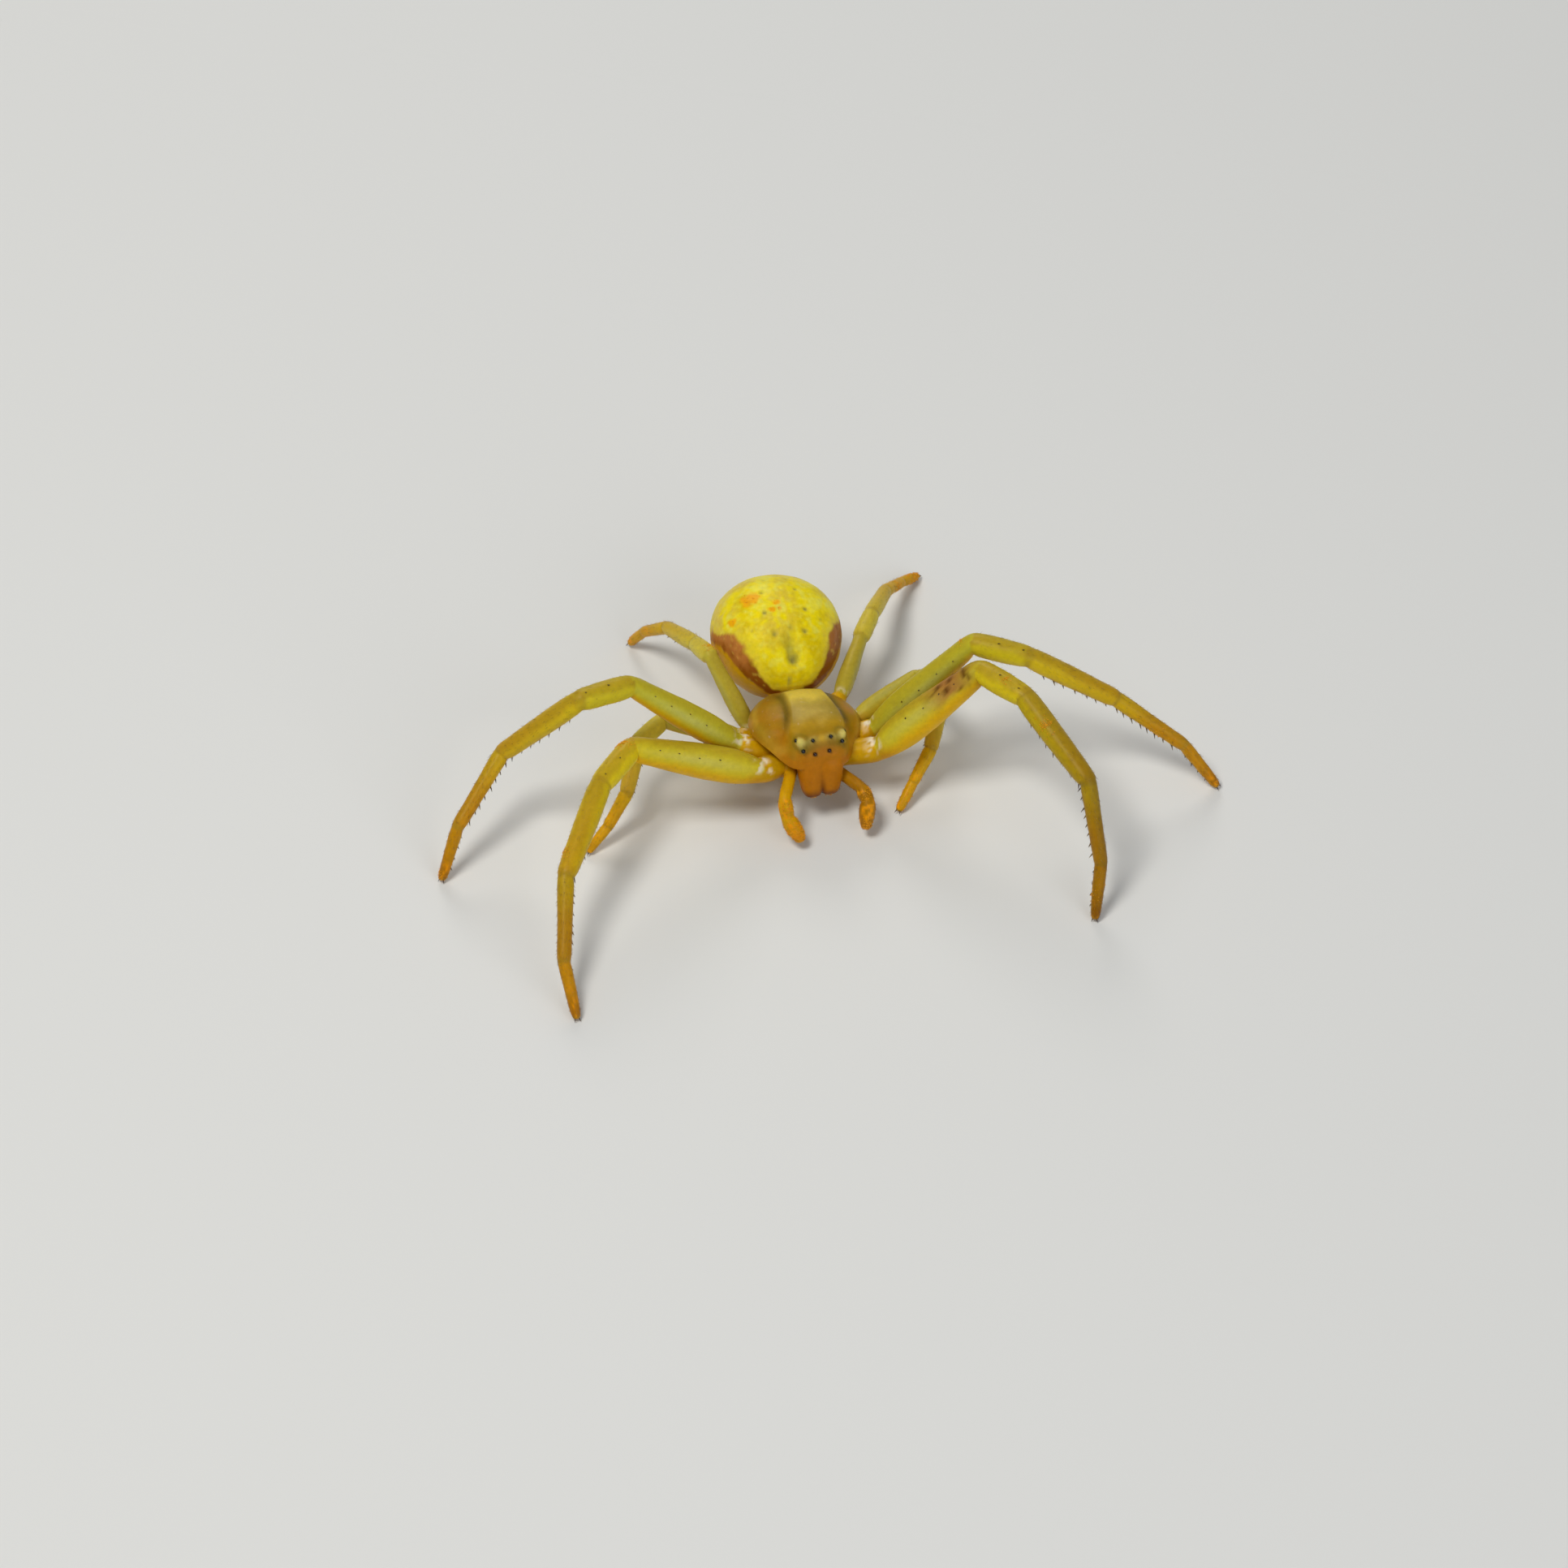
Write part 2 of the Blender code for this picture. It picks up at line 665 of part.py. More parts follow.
def build():
    clear_scene()
    head = cephalothorax()
    nodes = eyes(head)
    plain_head = shield("plain head")

    rear = abdomen()
    tail = spinnerets()
    part_from(tail, [rear])
    part_from(rear, [plain_head])
    nodes += [head, rear, tail]

    slab = middle_slab()
    for side in ("left", "right"):
        jaw, feeler = mouthparts(side, slab)
        limbs = legs(side)
        part_from(feeler, [limbs[1][0]])
        thighs = [femur for femur, _, _ in limbs.values()]
        for piece in (jaw, feeler, *thighs):
            part_from(piece, [plain_head])
        nodes += [jaw, feeler]
        for solids in limbs.values():
            nodes += solids
    for helper in (slab, plain_head):
        bpy.data.objects.remove(helper, do_unlink=True)

    for node in nodes:
        dress(node)


build()
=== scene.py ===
"""Dress a life-size crab spider: one skin, eyes, claws, spines, hairs and pollen.

The body is drawn in millimetres about a point on the floor below the
carapace, then moved to the frame's origin and scaled to metres. The animal
faces -Y and its left side is +X.
"""

import math
import random

import bmesh
import bpy
import numpy as np
from bpy.props import FloatProperty, FloatVectorProperty, IntProperty, PointerProperty
from bpy.types import Operator, Panel, PropertyGroup
from mathutils import Matrix, Vector, noise


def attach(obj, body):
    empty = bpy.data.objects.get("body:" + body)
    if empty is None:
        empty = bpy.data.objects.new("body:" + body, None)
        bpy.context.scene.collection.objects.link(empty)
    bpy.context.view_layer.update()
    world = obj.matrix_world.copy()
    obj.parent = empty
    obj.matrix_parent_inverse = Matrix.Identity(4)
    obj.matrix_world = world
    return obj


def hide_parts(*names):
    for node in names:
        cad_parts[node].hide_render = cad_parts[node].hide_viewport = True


bl_info = {
    "name": "Crab spider finish",
    "version": (1, 0, 0),
    "blender": (4, 5, 0),
    "location": "3D View > Sidebar > Crab Spider",
    "description": "Skin, eyes, claws, hairs and studio for a life-size crab spider",
    "category": "Add Mesh",
}

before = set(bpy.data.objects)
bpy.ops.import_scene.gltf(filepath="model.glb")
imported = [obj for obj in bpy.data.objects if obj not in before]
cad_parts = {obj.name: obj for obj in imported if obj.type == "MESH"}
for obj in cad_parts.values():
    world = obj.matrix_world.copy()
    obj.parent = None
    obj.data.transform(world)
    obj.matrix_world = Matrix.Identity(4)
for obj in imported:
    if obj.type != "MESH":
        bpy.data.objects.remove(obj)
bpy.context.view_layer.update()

MM = 0.001
PER_METRE = 1 / MM
UP = Vector((0.0, 0.0, 1.0))
SIDES = ("left", "right")
TINT = "tint"
# Alpha of a painted point; one that a union has made keeps 1
PAINTED = 0.5
TINY = 1e-9
FAR = 1e9

# From here on lengths are in millimetres
BODY_OFFSET = (-0.17, 0.38)
RIM_HEIGHT = 1.65
FOOT_HEIGHT = 0.10

# Femur, patella, tibia, metatarsus and tarsus of each leg pair
SEGMENT_LENGTHS = {
    1: (3.45, 1.45, 2.75, 2.15, 1.40),
    2: (3.50, 1.45, 2.70, 2.15, 1.40),
    3: (1.95, 0.90, 1.35, 0.95, 0.80),
    4: (2.05, 0.92, 1.55, 1.15, 0.85),
}
# Radii of the coxa and of the segments above. They differ from the solids' by
# a few hundredths of a millimetre, where the skin rounds a joint off.
SEGMENT_RADII = {
    1: (0.33, 0.475, 0.31, 0.29, 0.20, 0.165),
    2: (0.31, 0.395, 0.30, 0.27, 0.195, 0.16),
    3: (0.24, 0.28, 0.235, 0.22, 0.165, 0.14),
    4: (0.23, 0.265, 0.23, 0.21, 0.16, 0.135),
}
# Where each coxa starts inside the body, on the left side
COXA_ROOTS = {
    1: (0.80, -0.72, 1.20),
    2: (0.95, -0.28, 1.18),
    3: (0.92, 0.20, 1.16),
    4: (0.70, 0.62, 1.18),
}
# Where each coxa meets the breastplate, on the left side
COXA_HEADS = {
    1: (0.42, -0.68, 1.16),
    2: (0.46, -0.26, 1.13),
    3: (0.46, 0.18, 1.13),
    4: (0.36, 0.50, 1.15),
}
# Pose of each leg: coxa length, then heading and rise in degrees of coxa,
# femur, patella, tibia and metatarsus, then the heading of the tarsus.
# Heading 0 is straight ahead and 90 is straight out to the leg's own side.
LEG_POSES = {
    (1, "left"): (1.02, (73, 15), (86, 43), (34, 3), (22, -17), (4, -59), -24),
    (2, "left"): (0.86, (90, 16), (91, 44), (60, -3), (76, -34), (59, -32), 49),
    (3, "left"): (0.56, (93, 20), (111, 14), (27, -13), (-26, -23), (-50, -38), -46),
    (4, "left"): (0.68, (116, 39), (151, 2), (148, -1), (151, -22), (141, -31), 131),
    (1, "right"): (0.67, (65, 19), (97, 21), (44, 2), (32, -12), (15, -32), -3),
    (2, "right"): (0.99, (97, 31), (99, 42), (75, 8), (102, -43), (51, -32), 44),
    (3, "right"): (0.73, (101, 19), (108, 12), (58, -7), (27, -27), (52, -37), 60),
    (4, "right"): (0.53, (100, 3), (155, 41), (168, -22), (162, -24), (149, -42), 140),
}
LEG_SEGMENTS = ("coxa", "femur", "patella", "tibia", "metatarsus", "tarsus")
# Corners of a limb's cross-section
LEG_SIDES = {1: 16, 2: 16, 3: 14, 4: 14}
HIP_SIDES = 16
PALP_SIDES = 14
JAW_SIDES = 18
LOBE_SIDES = 12

# Base, knee, shin and tip of each palp
PALP_PATH = {
    "left": ((0.44, -0.76, 1.00), (1.06, -1.84, 1.04), (1.14, -2.16, 0.88), (0.97, -2.58, 0.32)),
    "right": ((0.44, -0.76, 1.24), (0.93, -1.80, 1.12), (0.92, -2.10, 0.70), (0.66, -2.55, 0.28)),
}
PALP_RADII = (0.165, 0.19, 0.205, 0.14)

# The eye rows lie a little aslant across the head
EYE_SLANT = 0.06
# Eyes: distance from the middle, place along the carapace, lens radius and
# radius of the tubercle below
EYES = {
    "anterior_median": (0.19, -1.335, 0.048, 0.0),
    "anterior_lateral": (0.49, -1.25, 0.054, 0.09),
    "posterior_median": (0.235, -1.19, 0.046, 0.0),
    "posterior_lateral": (0.54, -1.13, 0.050, 0.15),
}
# Shares of a tubercle and of a lens that stand clear of what carries them
TUBERCLE_SHOWS = 0.62
LENS_SHOWS = 0.25
# Tubercles above this radius are the pale knobs of the rear side eyes
PALE_KNOB = 0.12


def linear(code):
    """Linear RGBA of an sRGB hex colour."""
    values = []
    for start in (0, 2, 4):
        value = int(code[start:start + 2], 16) / 255
        if value <= 0.04045:
            values.append(value / 12.92)
        else:
            values.append(((value + 0.055) / 1.055) ** 2.4)
    return (*values, 1.0)


def length(name, description, default_mm):
    """Property for a length, given in millimetres."""
    return FloatProperty(
        name=name, description=description, default=default_mm * MM, min=0.0,
        unit="LENGTH", precision=5,
    )


def colour(name, description, code):
    """Property for a colour, given as an sRGB hex value."""
    return FloatVectorProperty(
        name=name, description=description, default=linear(code), min=0.0, max=1.0,
        size=4, subtype="COLOR",
    )


class CrabSpiderSizes(PropertyGroup):
    """Sizes a user would change, at life size."""

    carapace_width: length("Carapace width", "Across the shield of the front body", 2.88)
    carapace_length: length("Carapace length", "From the face to the waist", 2.84)
    carapace_dome: length("Carapace dome", "Height of the shield above its rim", 0.62)
    rim_height: length("Rim height", "Height of the shield's rim above the floor", RIM_HEIGHT)
    abdomen_width: length("Abdomen width", "Across the abdomen at its widest", 3.34)
    abdomen_length: length("Abdomen length", "From the waist to the rear", 3.40)
    abdomen_height: length("Abdomen height", "From belly to back", 2.62)
    hair_length: length("Hair length", "Longest fine hairs on legs and body", 0.12)
    hair_radius: length("Hair radius", "Radius of a fine hair at its root", 0.0032)
    spine_length: length("Spine length", "Spines under the front shins and feet", 0.14)
    spine_radius: length("Spine radius", "Radius of a leg spine at its root", 0.021)
    claw_length: length("Claw length", "Paired claws at each foot", 0.13)
    pollen_radius: length("Pollen grain radius", "One grain of pollen", 0.012)
    leg_hairs: IntProperty(name="Leg hairs", description="Fine hairs on all limbs", default=9000)
    body_hairs: IntProperty(name="Body hairs", description="Fine hairs on the body", default=1500)


class CrabSpiderColours(PropertyGroup):
    """Colours a user would change."""

    abdomen_yellow: colour("Abdomen yellow", "Pigment of the back", "F4DE00")
    abdomen_shade: colour("Abdomen shade", "Deeper yellow between the spots", "E2C800")
    abdomen_gold: colour("Abdomen gold", "Warm cream-yellow of the rear and the edges", "DCC24C")
    abdomen_pale: colour("Abdomen mottling", "Pale guanine spots in the yellow", "EEE85C")
    rust: colour("Rust bands", "Bands along both flanks of the abdomen", "C27C38")
    rust_dark: colour("Rust shade", "Darker brown in the bands", "90500C")
    flank: colour("Flank amber", "Belly and front of the abdomen", "CC9A10")
    peach: colour("Abdomen peach", "Soft cream-orange areas of the back", "DEC060")
    olive: colour("Eye olive", "Shadowed olive below the eye ridge", "7C6A16")
    red_eye: colour("Front eye", "Dark red-brown of the front middle eyes", "2E0C04")
    sigilla: colour("Sigilla", "Muscle pits on the back", "9A9450")
    femur_top: colour("Femur green", "Upper side of the long thighs", "C6BC28")
    # On the limbs' undersides this orange is also painted light reflected from below
    femur_below: colour("Femur orange", "Lower side of the long thighs", "E2B000")
    # Also stands for a painted glow of light passing through the thighs
    core: colour("Leg core", "Pale green tissue seen through the thighs", "C4C272")
    shin: colour("Shin yellow", "Patella and tibia", "DCC41A")
    shin_top: colour("Shin brown", "Pinkish-brown upper side of the shins", "A88624")
    foot: colour("Foot orange", "Metatarsus and tarsus", "C68C0C")
    foot_tip: colour("Foot tip", "Darkest part of the tarsus", "985606")
    pale_leg: colour("Rear leg yellow", "Third and fourth legs", "DCCA44")
    # Pale membrane; also painted as highlight on the hips and as glints on the carapace
    membrane_and_glint_white: colour("Joint white", "Clear membrane over the hip joints", "F8F0DC")
    amber: colour("Carapace amber", "Clear sides of the carapace", "A27C0C")
    cream: colour("Head cream", "Raised middle of the carapace", "A69038")
    stripe: colour("Head stripe", "Brown stripes beside the head", "6A5818")
    face: colour("Face orange", "Clypeus, jaws and palps", "BC7404")
    jaw_tip: colour("Jaw tip", "Red-brown lower ends of the jaws", "5E2000")
    eye_ridge: colour("Eye ridge", "Pale ridge and knobs that carry the eyes", "C8BA66")
    lens: colour("Lens", "Polished black eyes", "060505")
    dark_hair: colour("Dark hair", "Hairs, spines and claws", "2A180A")
    pale_hair: colour("Pale hair", "Clear hairs", "C8A450")
    pollen: colour("Pollen", "Pollen caught on the hairs", "FCA804")


def sizes():
    return bpy.context.scene.crab_spider_sizes


def shades():
    return bpy.context.scene.crab_spider_colours


def rgb(name):
    """A named colour as an array."""
    return np.array(getattr(shades(), name)[:3])


def blend(first, second, share):
    """Mix two colours by a share from 0 to 1; each is a name or an array."""
    if isinstance(first, str):
        first = rgb(first)
    if isinstance(second, str):
        second = rgb(second)
    share = np.clip(np.asarray(share, float), 0.0, 1.0)[..., None]
    return first * (1 - share) + second * share


def step(low, high, value):
    """Smooth change from 0 at one value to 1 at the other."""
    share = np.clip((np.asarray(value, float) - low) / (high - low), 0.0, 1.0)
    return share * share * (3 - 2 * share)


def hump(middle, width, value):
    """1 at the middle, falling smoothly to 0 about two widths away."""
    return np.exp(-((np.asarray(value, float) - middle) / width) ** 2)


def side_sign(side):
    return 1 if side == "left" else -1


def unit_rows(rows):
    """Each row divided by its own length."""
    return rows / np.maximum(np.linalg.norm(rows, axis=1), TINY)[:, None]


def pick(condition, first, second):
    """Rows of one array where a condition holds, and of the other elsewhere."""
    return np.where(condition[:, None], first, second)


def linked(name, data):
    """Object in the scene for a mesh, a light or a camera."""
    thing = bpy.data.objects.new(name, data)
    bpy.context.scene.collection.objects.link(thing)
    return thing


def new_object(name, bm):
    """Turn a bmesh into an object whose faces point outwards."""
    bmesh.ops.recalc_face_normals(bm, faces=bm.faces)
    mesh = bpy.data.meshes.new(name)
    bm.to_mesh(mesh)
    bm.free()
    return linked(name, mesh)


def apply_modifiers(thing):
    graph = bpy.context.evaluated_depsgraph_get()
    mesh = bpy.data.meshes.new_from_object(thing.evaluated_get(graph))
    thing.modifiers.clear()
    thing.data = mesh


def subdivided(thing):
    """Smooth a piece by one level of subdivision."""
    smooth = thing.modifiers.new("Smooth", "SUBSURF")
    smooth.levels = 1
    smooth.render_levels = 1
    apply_modifiers(thing)
    return thing


def gathered(items, key, width=1, kind=float):
    """One property of all items, as an array with a row for each."""
    values = np.empty(len(items) * width, kind)
    items.foreach_get(key, values)
    return values.reshape(-1, width) if width > 1 else values


def points_of(thing):
    return gathered(thing.data.vertices, "co", 3)


def move_points(thing, points):
    thing.data.vertices.foreach_set("co", np.ascontiguousarray(points).ravel())
    thing.data.update()


def paint(thing, colours):
    """Store one colour for each point."""
    attributes = thing.data.attributes
    layer = attributes.get(TINT) or attributes.new(TINT, "FLOAT_COLOR", "POINT")
    full = np.empty((len(thing.data.vertices), 4))
    full[:, :3] = colours
    full[:, 3] = PAINTED
    layer.data.foreach_set("color", full.ravel())


def ring_matrix(centre, along, up, radius, flatness=1.0):
    """Place a unit circle across a limb; flatness narrows it sideways."""
    axis = Vector(along).normalized()
    side = axis.cross(Vector(up)).normalized()
    top = side.cross(axis)
    turn = Matrix((side, top, axis)).transposed().to_4x4()
    size = Matrix.Diagonal((radius * flatness, radius, 1.0, 1.0))
    return Matrix.Translation(Vector(centre)) @ turn @ size


def sweep(bm, rings, around):
    """Extrude a circle through a row of ring matrices into a closed limb."""
    made = bmesh.ops.create_circle(
        bm, cap_ends=True, radius=1.0, segments=around, matrix=rings[0],
    )
    start = face = made["verts"][0].link_faces[0]
    for last, following in zip(rings, rings[1:]):
        grown = bmesh.ops.extrude_face_region(bm, geom=[face])
        if face is not start:
            bmesh.ops.delete(bm, geom=[face], context="FACES_ONLY")
        face = [item for item in grown["geom"] if isinstance(item, bmesh.types.BMFace)][0]
        bmesh.ops.transform(bm, matrix=following @ last.inverted(), verts=face.verts)


def limb(name, rings, around):
    """Smooth closed limb through a row of rings."""
    bm = bmesh.new()
    sweep(bm, rings, around)
    return subdivided(new_object(name, bm))


def direction(heading, rise, side):
    """Unit vector for a heading and a rise in degrees on one side."""
    turn = math.radians(heading)
    lift = math.radians(rise)
    level = math.cos(lift)
    return Vector((
        side_sign(side) * math.sin(turn) * level,
        -math.cos(turn) * level,
        math.sin(lift),
    ))


def leg_joints(pair, side):
    """Joint centres of a leg from its root in the body to its foot."""
    coxa_length, *bends, tarsus_heading = LEG_POSES[(pair, side)]
    root = Vector(COXA_ROOTS[pair])
    root.x *= side_sign(side)
    lengths = (coxa_length, *SEGMENT_LENGTHS[pair])
    joints = [root]
    for reach, (heading, rise) in zip(lengths, bends):
        joints.append(joints[-1] + direction(heading, rise, side) * reach)
    drop = (FOOT_HEIGHT - joints[-1].z) / lengths[-1]
    rise = math.degrees(math.asin(max(-1.0, drop)))
    joints.append(joints[-1] + direction(tarsus_heading, rise, side) * lengths[-1])
    return joints


def palp_joints(side):
    return [Vector((x * side_sign(side), y, z)) for x, y, z in PALP_PATH[side]]


def backs(joints):
    """Direction of the upper side of each segment, in the limb's own plane."""
    level = joints[-1] - joints[0]
    level.z = 0
    across = level.normalized().cross(UP)
    ups = []
    for start, end in zip(joints, joints[1:]):
        along = (end - start).normalized()
        up = across.cross(along)
        ups.append((up - along * up.dot(along)).normalized())
    return ups


# Radius along each segment as (share of its length, share of the segment's
# radius, sideways flatness)
PROFILES = {
    "coxa": (
        (0.0, 0.95, 1.0), (0.30, 1.0, 1.0), (0.62, 1.04, 1.0), (0.84, 1.02, 1.0), (0.95, 0.96, 1.0),
    ),
    "femur": (
        (0.015, 0.68, 1.0), (0.045, 0.74, 1.0), (0.075, 0.78, 0.99), (0.10, 0.83, 0.96),
        (0.15, 0.91, 0.93), (0.22, 0.98, 0.91), (0.32, 1.0, 0.90), (0.44, 0.98, 0.90),
        (0.56, 0.93, 0.91), (0.68, 0.86, 0.93), (0.79, 0.79, 0.95), (0.88, 0.74, 0.98),
        (0.94, 0.72, 1.0), (0.98, 0.67, 1.0),
    ),
    "patella": (
        (0.03, 0.94, 1.0), (0.09, 1.0, 1.0), (0.22, 1.05, 1.0), (0.42, 1.06, 1.0), (0.64, 1.04, 1.0),
        (0.82, 1.0, 1.0), (0.93, 0.97, 1.0), (0.985, 0.91, 1.0),
    ),
    "tibia": (
        (0.02, 0.94, 1.0), (0.05, 1.01, 1.0), (0.14, 1.06, 0.98), (0.30, 1.07, 0.98), (0.48, 1.04, 0.98),
        (0.66, 0.98, 0.98), (0.82, 0.93, 1.0), (0.92, 0.90, 1.0), (0.97, 0.86, 1.0), (0.99, 0.79, 1.0),
    ),
    "metatarsus": (
        (0.015, 1.02, 1.0), (0.05, 1.09, 1.0), (0.14, 1.09, 1.0), (0.34, 1.02, 1.0), (0.58, 0.96, 1.0),
        (0.80, 0.93, 1.0), (0.93, 0.94, 1.0), (0.98, 0.87, 1.0),
    ),
    "tarsus": (
        (0.02, 0.94, 1.0), (0.07, 1.0, 1.0), (0.25, 1.0, 1.0), (0.50, 0.94, 1.0), (0.72, 0.87, 1.0),
        (0.88, 0.80, 1.0), (0.97, 0.68, 1.0), (1.03, 0.42, 1.0),
    ),
}
# Share of a segment, at each end, whose rings lean into the joint
BEND_REACH = 0.10


def limb_rings(joints, profiles, radii):
    """Rings along a jointed limb; those next to a joint lean halfway into its bend."""
    ups = backs(joints)
    ways = [(end - start).normalized() for start, end in zip(joints, joints[1:])]
    rings = []
    for number, (profile, radius) in enumerate(zip(profiles, radii)):
        start, end = joints[number], joints[number + 1]
        for share, size, flatness in profile:
            way = ways[number]
            if share < BEND_REACH and number > 0:
                lean = 0.5 * (1 - share / BEND_REACH)
                way = ways[number].lerp(ways[number - 1], lean)
            elif share > 1 - BEND_REACH and number + 1 < len(ways):
                lean = 0.5 * (1 - (1 - share) / BEND_REACH)
                way = ways[number].lerp(ways[number + 1], lean)
            centre = start.lerp(end, share)
            rings.append(ring_matrix(centre, way, ups[number], radius * size, flatness))
    return rings


def along_limb(points, joints):
    """Segment, share of it, and how far up its back and round its side each
    point lies."""
    ups = backs(joints)
    best = np.full(len(points), FAR)
    segment = np.zeros(len(points), int)
    share = np.zeros(len(points))
    top = np.zeros(len(points))
    lateral = np.zeros(len(points))
    for number, (start, end) in enumerate(zip(joints, joints[1:])):
        first = np.array(start)
        way = np.array(end - start)
        here = np.clip((points - first) @ way / (way @ way), 0.0, 1.0)
        out = points - first - here[:, None] * way
        distance = np.linalg.norm(out, axis=1)
        unit = unit_rows(out)
        closer = distance < best
        best = np.where(closer, distance, best)
        segment = np.where(closer, number, segment)
        share = np.where(closer, here, share)
        top = np.where(closer, unit @ np.array(ups[number]), top)
        across = np.cross(way / np.linalg.norm(way), np.array(ups[number]))
        lateral = np.where(closer, unit @ across, lateral)
    return segment, share, top, lateral


def speckle(points, scale, seed):
    """Smooth noise from -1 to 1 with lumps about the given size in mm."""
    shift = Vector((seed, seed * 0.7, seed * 1.3))
    return np.array([noise.noise(Vector(point) / scale + shift) for point in points])


LEG_UNEVENNESS = 0.008


def leg_colours(points, joints, pair, side):
    """Markings of a leg, from its segment, the share along it and its back."""
    segment, share, top, _ = along_limb(points, joints)
    lumps = speckle(points, 0.22, pair + side_sign(side) * 3.0)
    fine = speckle(points, 0.08, pair + side_sign(side) * 5.0)
    long_leg = pair < 3
    core = rgb("femur_top") if long_leg else rgb("pale_leg")
    below = rgb("femur_below") if long_leg else blend("pale_leg", "femur_below", 0.45)
    # Thigh, green above; its orange underside is painted orange light reflected from below
    if pair == 1:
        core = blend(core, "shin", 0.55)
    thigh = blend(below, core, step(-0.65, 0.15, top + 0.15 * lumps))
    # Paler band on the thigh's upper middle: partly tissue seen through the cuticle, partly painted glow
    # of light passing through the thigh
    tissue_and_glow = hump(0.35, 0.32, top) * hump(0.50, 0.36, share)
    thigh = blend(thigh, "core", (0.45 if pair == 1 else 0.58) * tissue_and_glow)
    back = step(0.55, 0.98, top + 0.12 * lumps)
    thigh = blend(thigh, "shin_top", (0.60 if pair == 1 else 0.35) * back)
    thigh = blend(thigh, "face", 0.55 * step(0.16, 0.0, share) * step(0.6, -0.2, top))
    if not long_leg:
        thigh = blend(thigh, "olive", 0.32)
    # Knee and shin
    shin = rgb("shin") if long_leg else rgb("pale_leg")
    if pair == 2:
        shin = blend(shin, "femur_top", 0.45 * (segment < 3))
    back = step(0.45, 0.98, top + 0.20 * lumps)
    lower = blend(shin, "shin_top", (0.65 if long_leg else 0.30) * back)
    # Painted orange light reflected from below, on the underside
    lower = blend(lower, "femur_below", 0.45 * step(-0.1, -0.8, top + 0.2 * lumps))
    lower = blend(lower, "foot", (0.10 + 0.40 * share) * (segment == 3))
    # Metatarsus and tarsus
    feet = blend("foot", "shin", 0.55 * step(0.7, 0.0, share) * (segment == 4))
    feet = blend(feet, "foot_tip", 0.65 * step(0.35, 1.0, share) * (segment == 5))
    feet = blend(feet, "shin_top", 0.35 * step(0.3, 0.9, top + 0.3 * lumps) * (segment == 4))
    # Painted orange light reflected from below, on the underside
    feet = blend(feet, "femur_below", 0.45 * step(0.0, -0.8, top + 0.2 * lumps))
    if not long_leg:
        feet = blend(feet, "femur_below", 0.5)
    colours = pick(segment == 1, thigh, lower)
    colours = pick(segment >= 4, feet, colours)
    # Painted light and shade: the right front leg's patella is lighter and its metatarsus darker
    if (pair, side) == (1, "right"):
        colours = colours * (1 + 0.10 * (segment == 2) - 0.12 * (segment == 4))[:, None]
    # Coxa, with white spots on top of its joint: pale membrane and painted highlight
    hip = blend("femur_below", "amber", 0.35 + 0.3 * lumps)
    hip = blend(hip, "face", 0.35 * step(0.1, -0.7, top))
    colours = pick(segment == 0, hip, colours)
    spot = hump(0.86, 0.12, share) * (segment == 0) + hump(0.035, 0.035, share) * (segment == 1)
    spot = spot * step(0.0, 0.35, top) * step(0.09, 0.22, speckle(points, 0.15, 33.0 + pair))
    colours = blend(colours, "membrane_and_glint_white", (0.74 if long_leg else 0.35) * spot)
    # Dirt, pollen dust and the darker skin at the joints
    if long_leg:
        dirt = step(0.22, 0.40, speckle(points, 0.07, 21.0)) * step(0.0, -0.6, top) * (segment > 2)
        colours = blend(colours, "rust_dark", 0.65 * dirt)
    dust = step(0.12, 0.34, speckle(points, 0.13, 23.0 + pair) + 0.25 * fine) * step(0.2, 0.9, share)
    dust = dust * ((segment == 5) * (1.0 if long_leg else 1.6) + 0.6 * (segment == 4) * (not long_leg))
    colours = blend(colours, "pollen", 0.60 * dust)
    near_joint = hump(0.0, 0.030, share) + hump(1.0, 0.030, share)
    colours = blend(colours, "shin_top", 0.50 * near_joint * (segment > 1))
    # Painted shade: the left front leg is darker from the tibia to the foot and at the end of its thigh,
    # with a rust patch before its knee
    if (pair, side) == (1, "left"):
        painted_leg_shade = 0.18 * (segment == 3) + 0.15 * (segment == 3) * share + 0.33 * (segment > 3)
        colours = colours * (1 - painted_leg_shade - 0.18 * hump(0.92, 0.10, share) * (segment == 1))[:, None]
        patch = hump(0.76, 0.18, share) * step(-0.45, 0.15, top + 0.5 * lumps) * (segment == 1)
        colours = blend(colours, rgb("rust") * np.array((0.72, 0.70, 1.05)), 0.85 * patch)
        specks = step(0.10, 0.24, speckle(points, 0.15, 9.0)) * step(0.2, 0.5, patch)
        colours = blend(colours, rgb("rust_dark") * 0.40, 0.85 * specks)
    return colours


def leg_skin(pair, side):
    """A whole leg, faintly uneven and flat where its foot meets the floor."""
    joints = leg_joints(pair, side)
    profiles = [PROFILES[name] for name in LEG_SEGMENTS]
    thing = limb("leg", limb_rings(joints, profiles, SEGMENT_RADII[pair]), LEG_SIDES[pair])
    points = points_of(thing)
    normals = gathered(thing.data.vertex_normals, "vector", 3)
    points += normals * (LEG_UNEVENNESS * speckle(points, 0.35, pair))[:, None]
    points[:, 2] = np.maximum(points[:, 2], 0.0)
    move_points(thing, points)
    paint(thing, leg_colours(points, joints, pair, side))
    return thing


# A hip's radius along it as (share of its length, share of the coxa's radius)
HIP_SHAPE = ((0.0, 0.55), (0.08, 0.78), (0.22, 0.92), (0.5, 0.97), (0.8, 0.97))


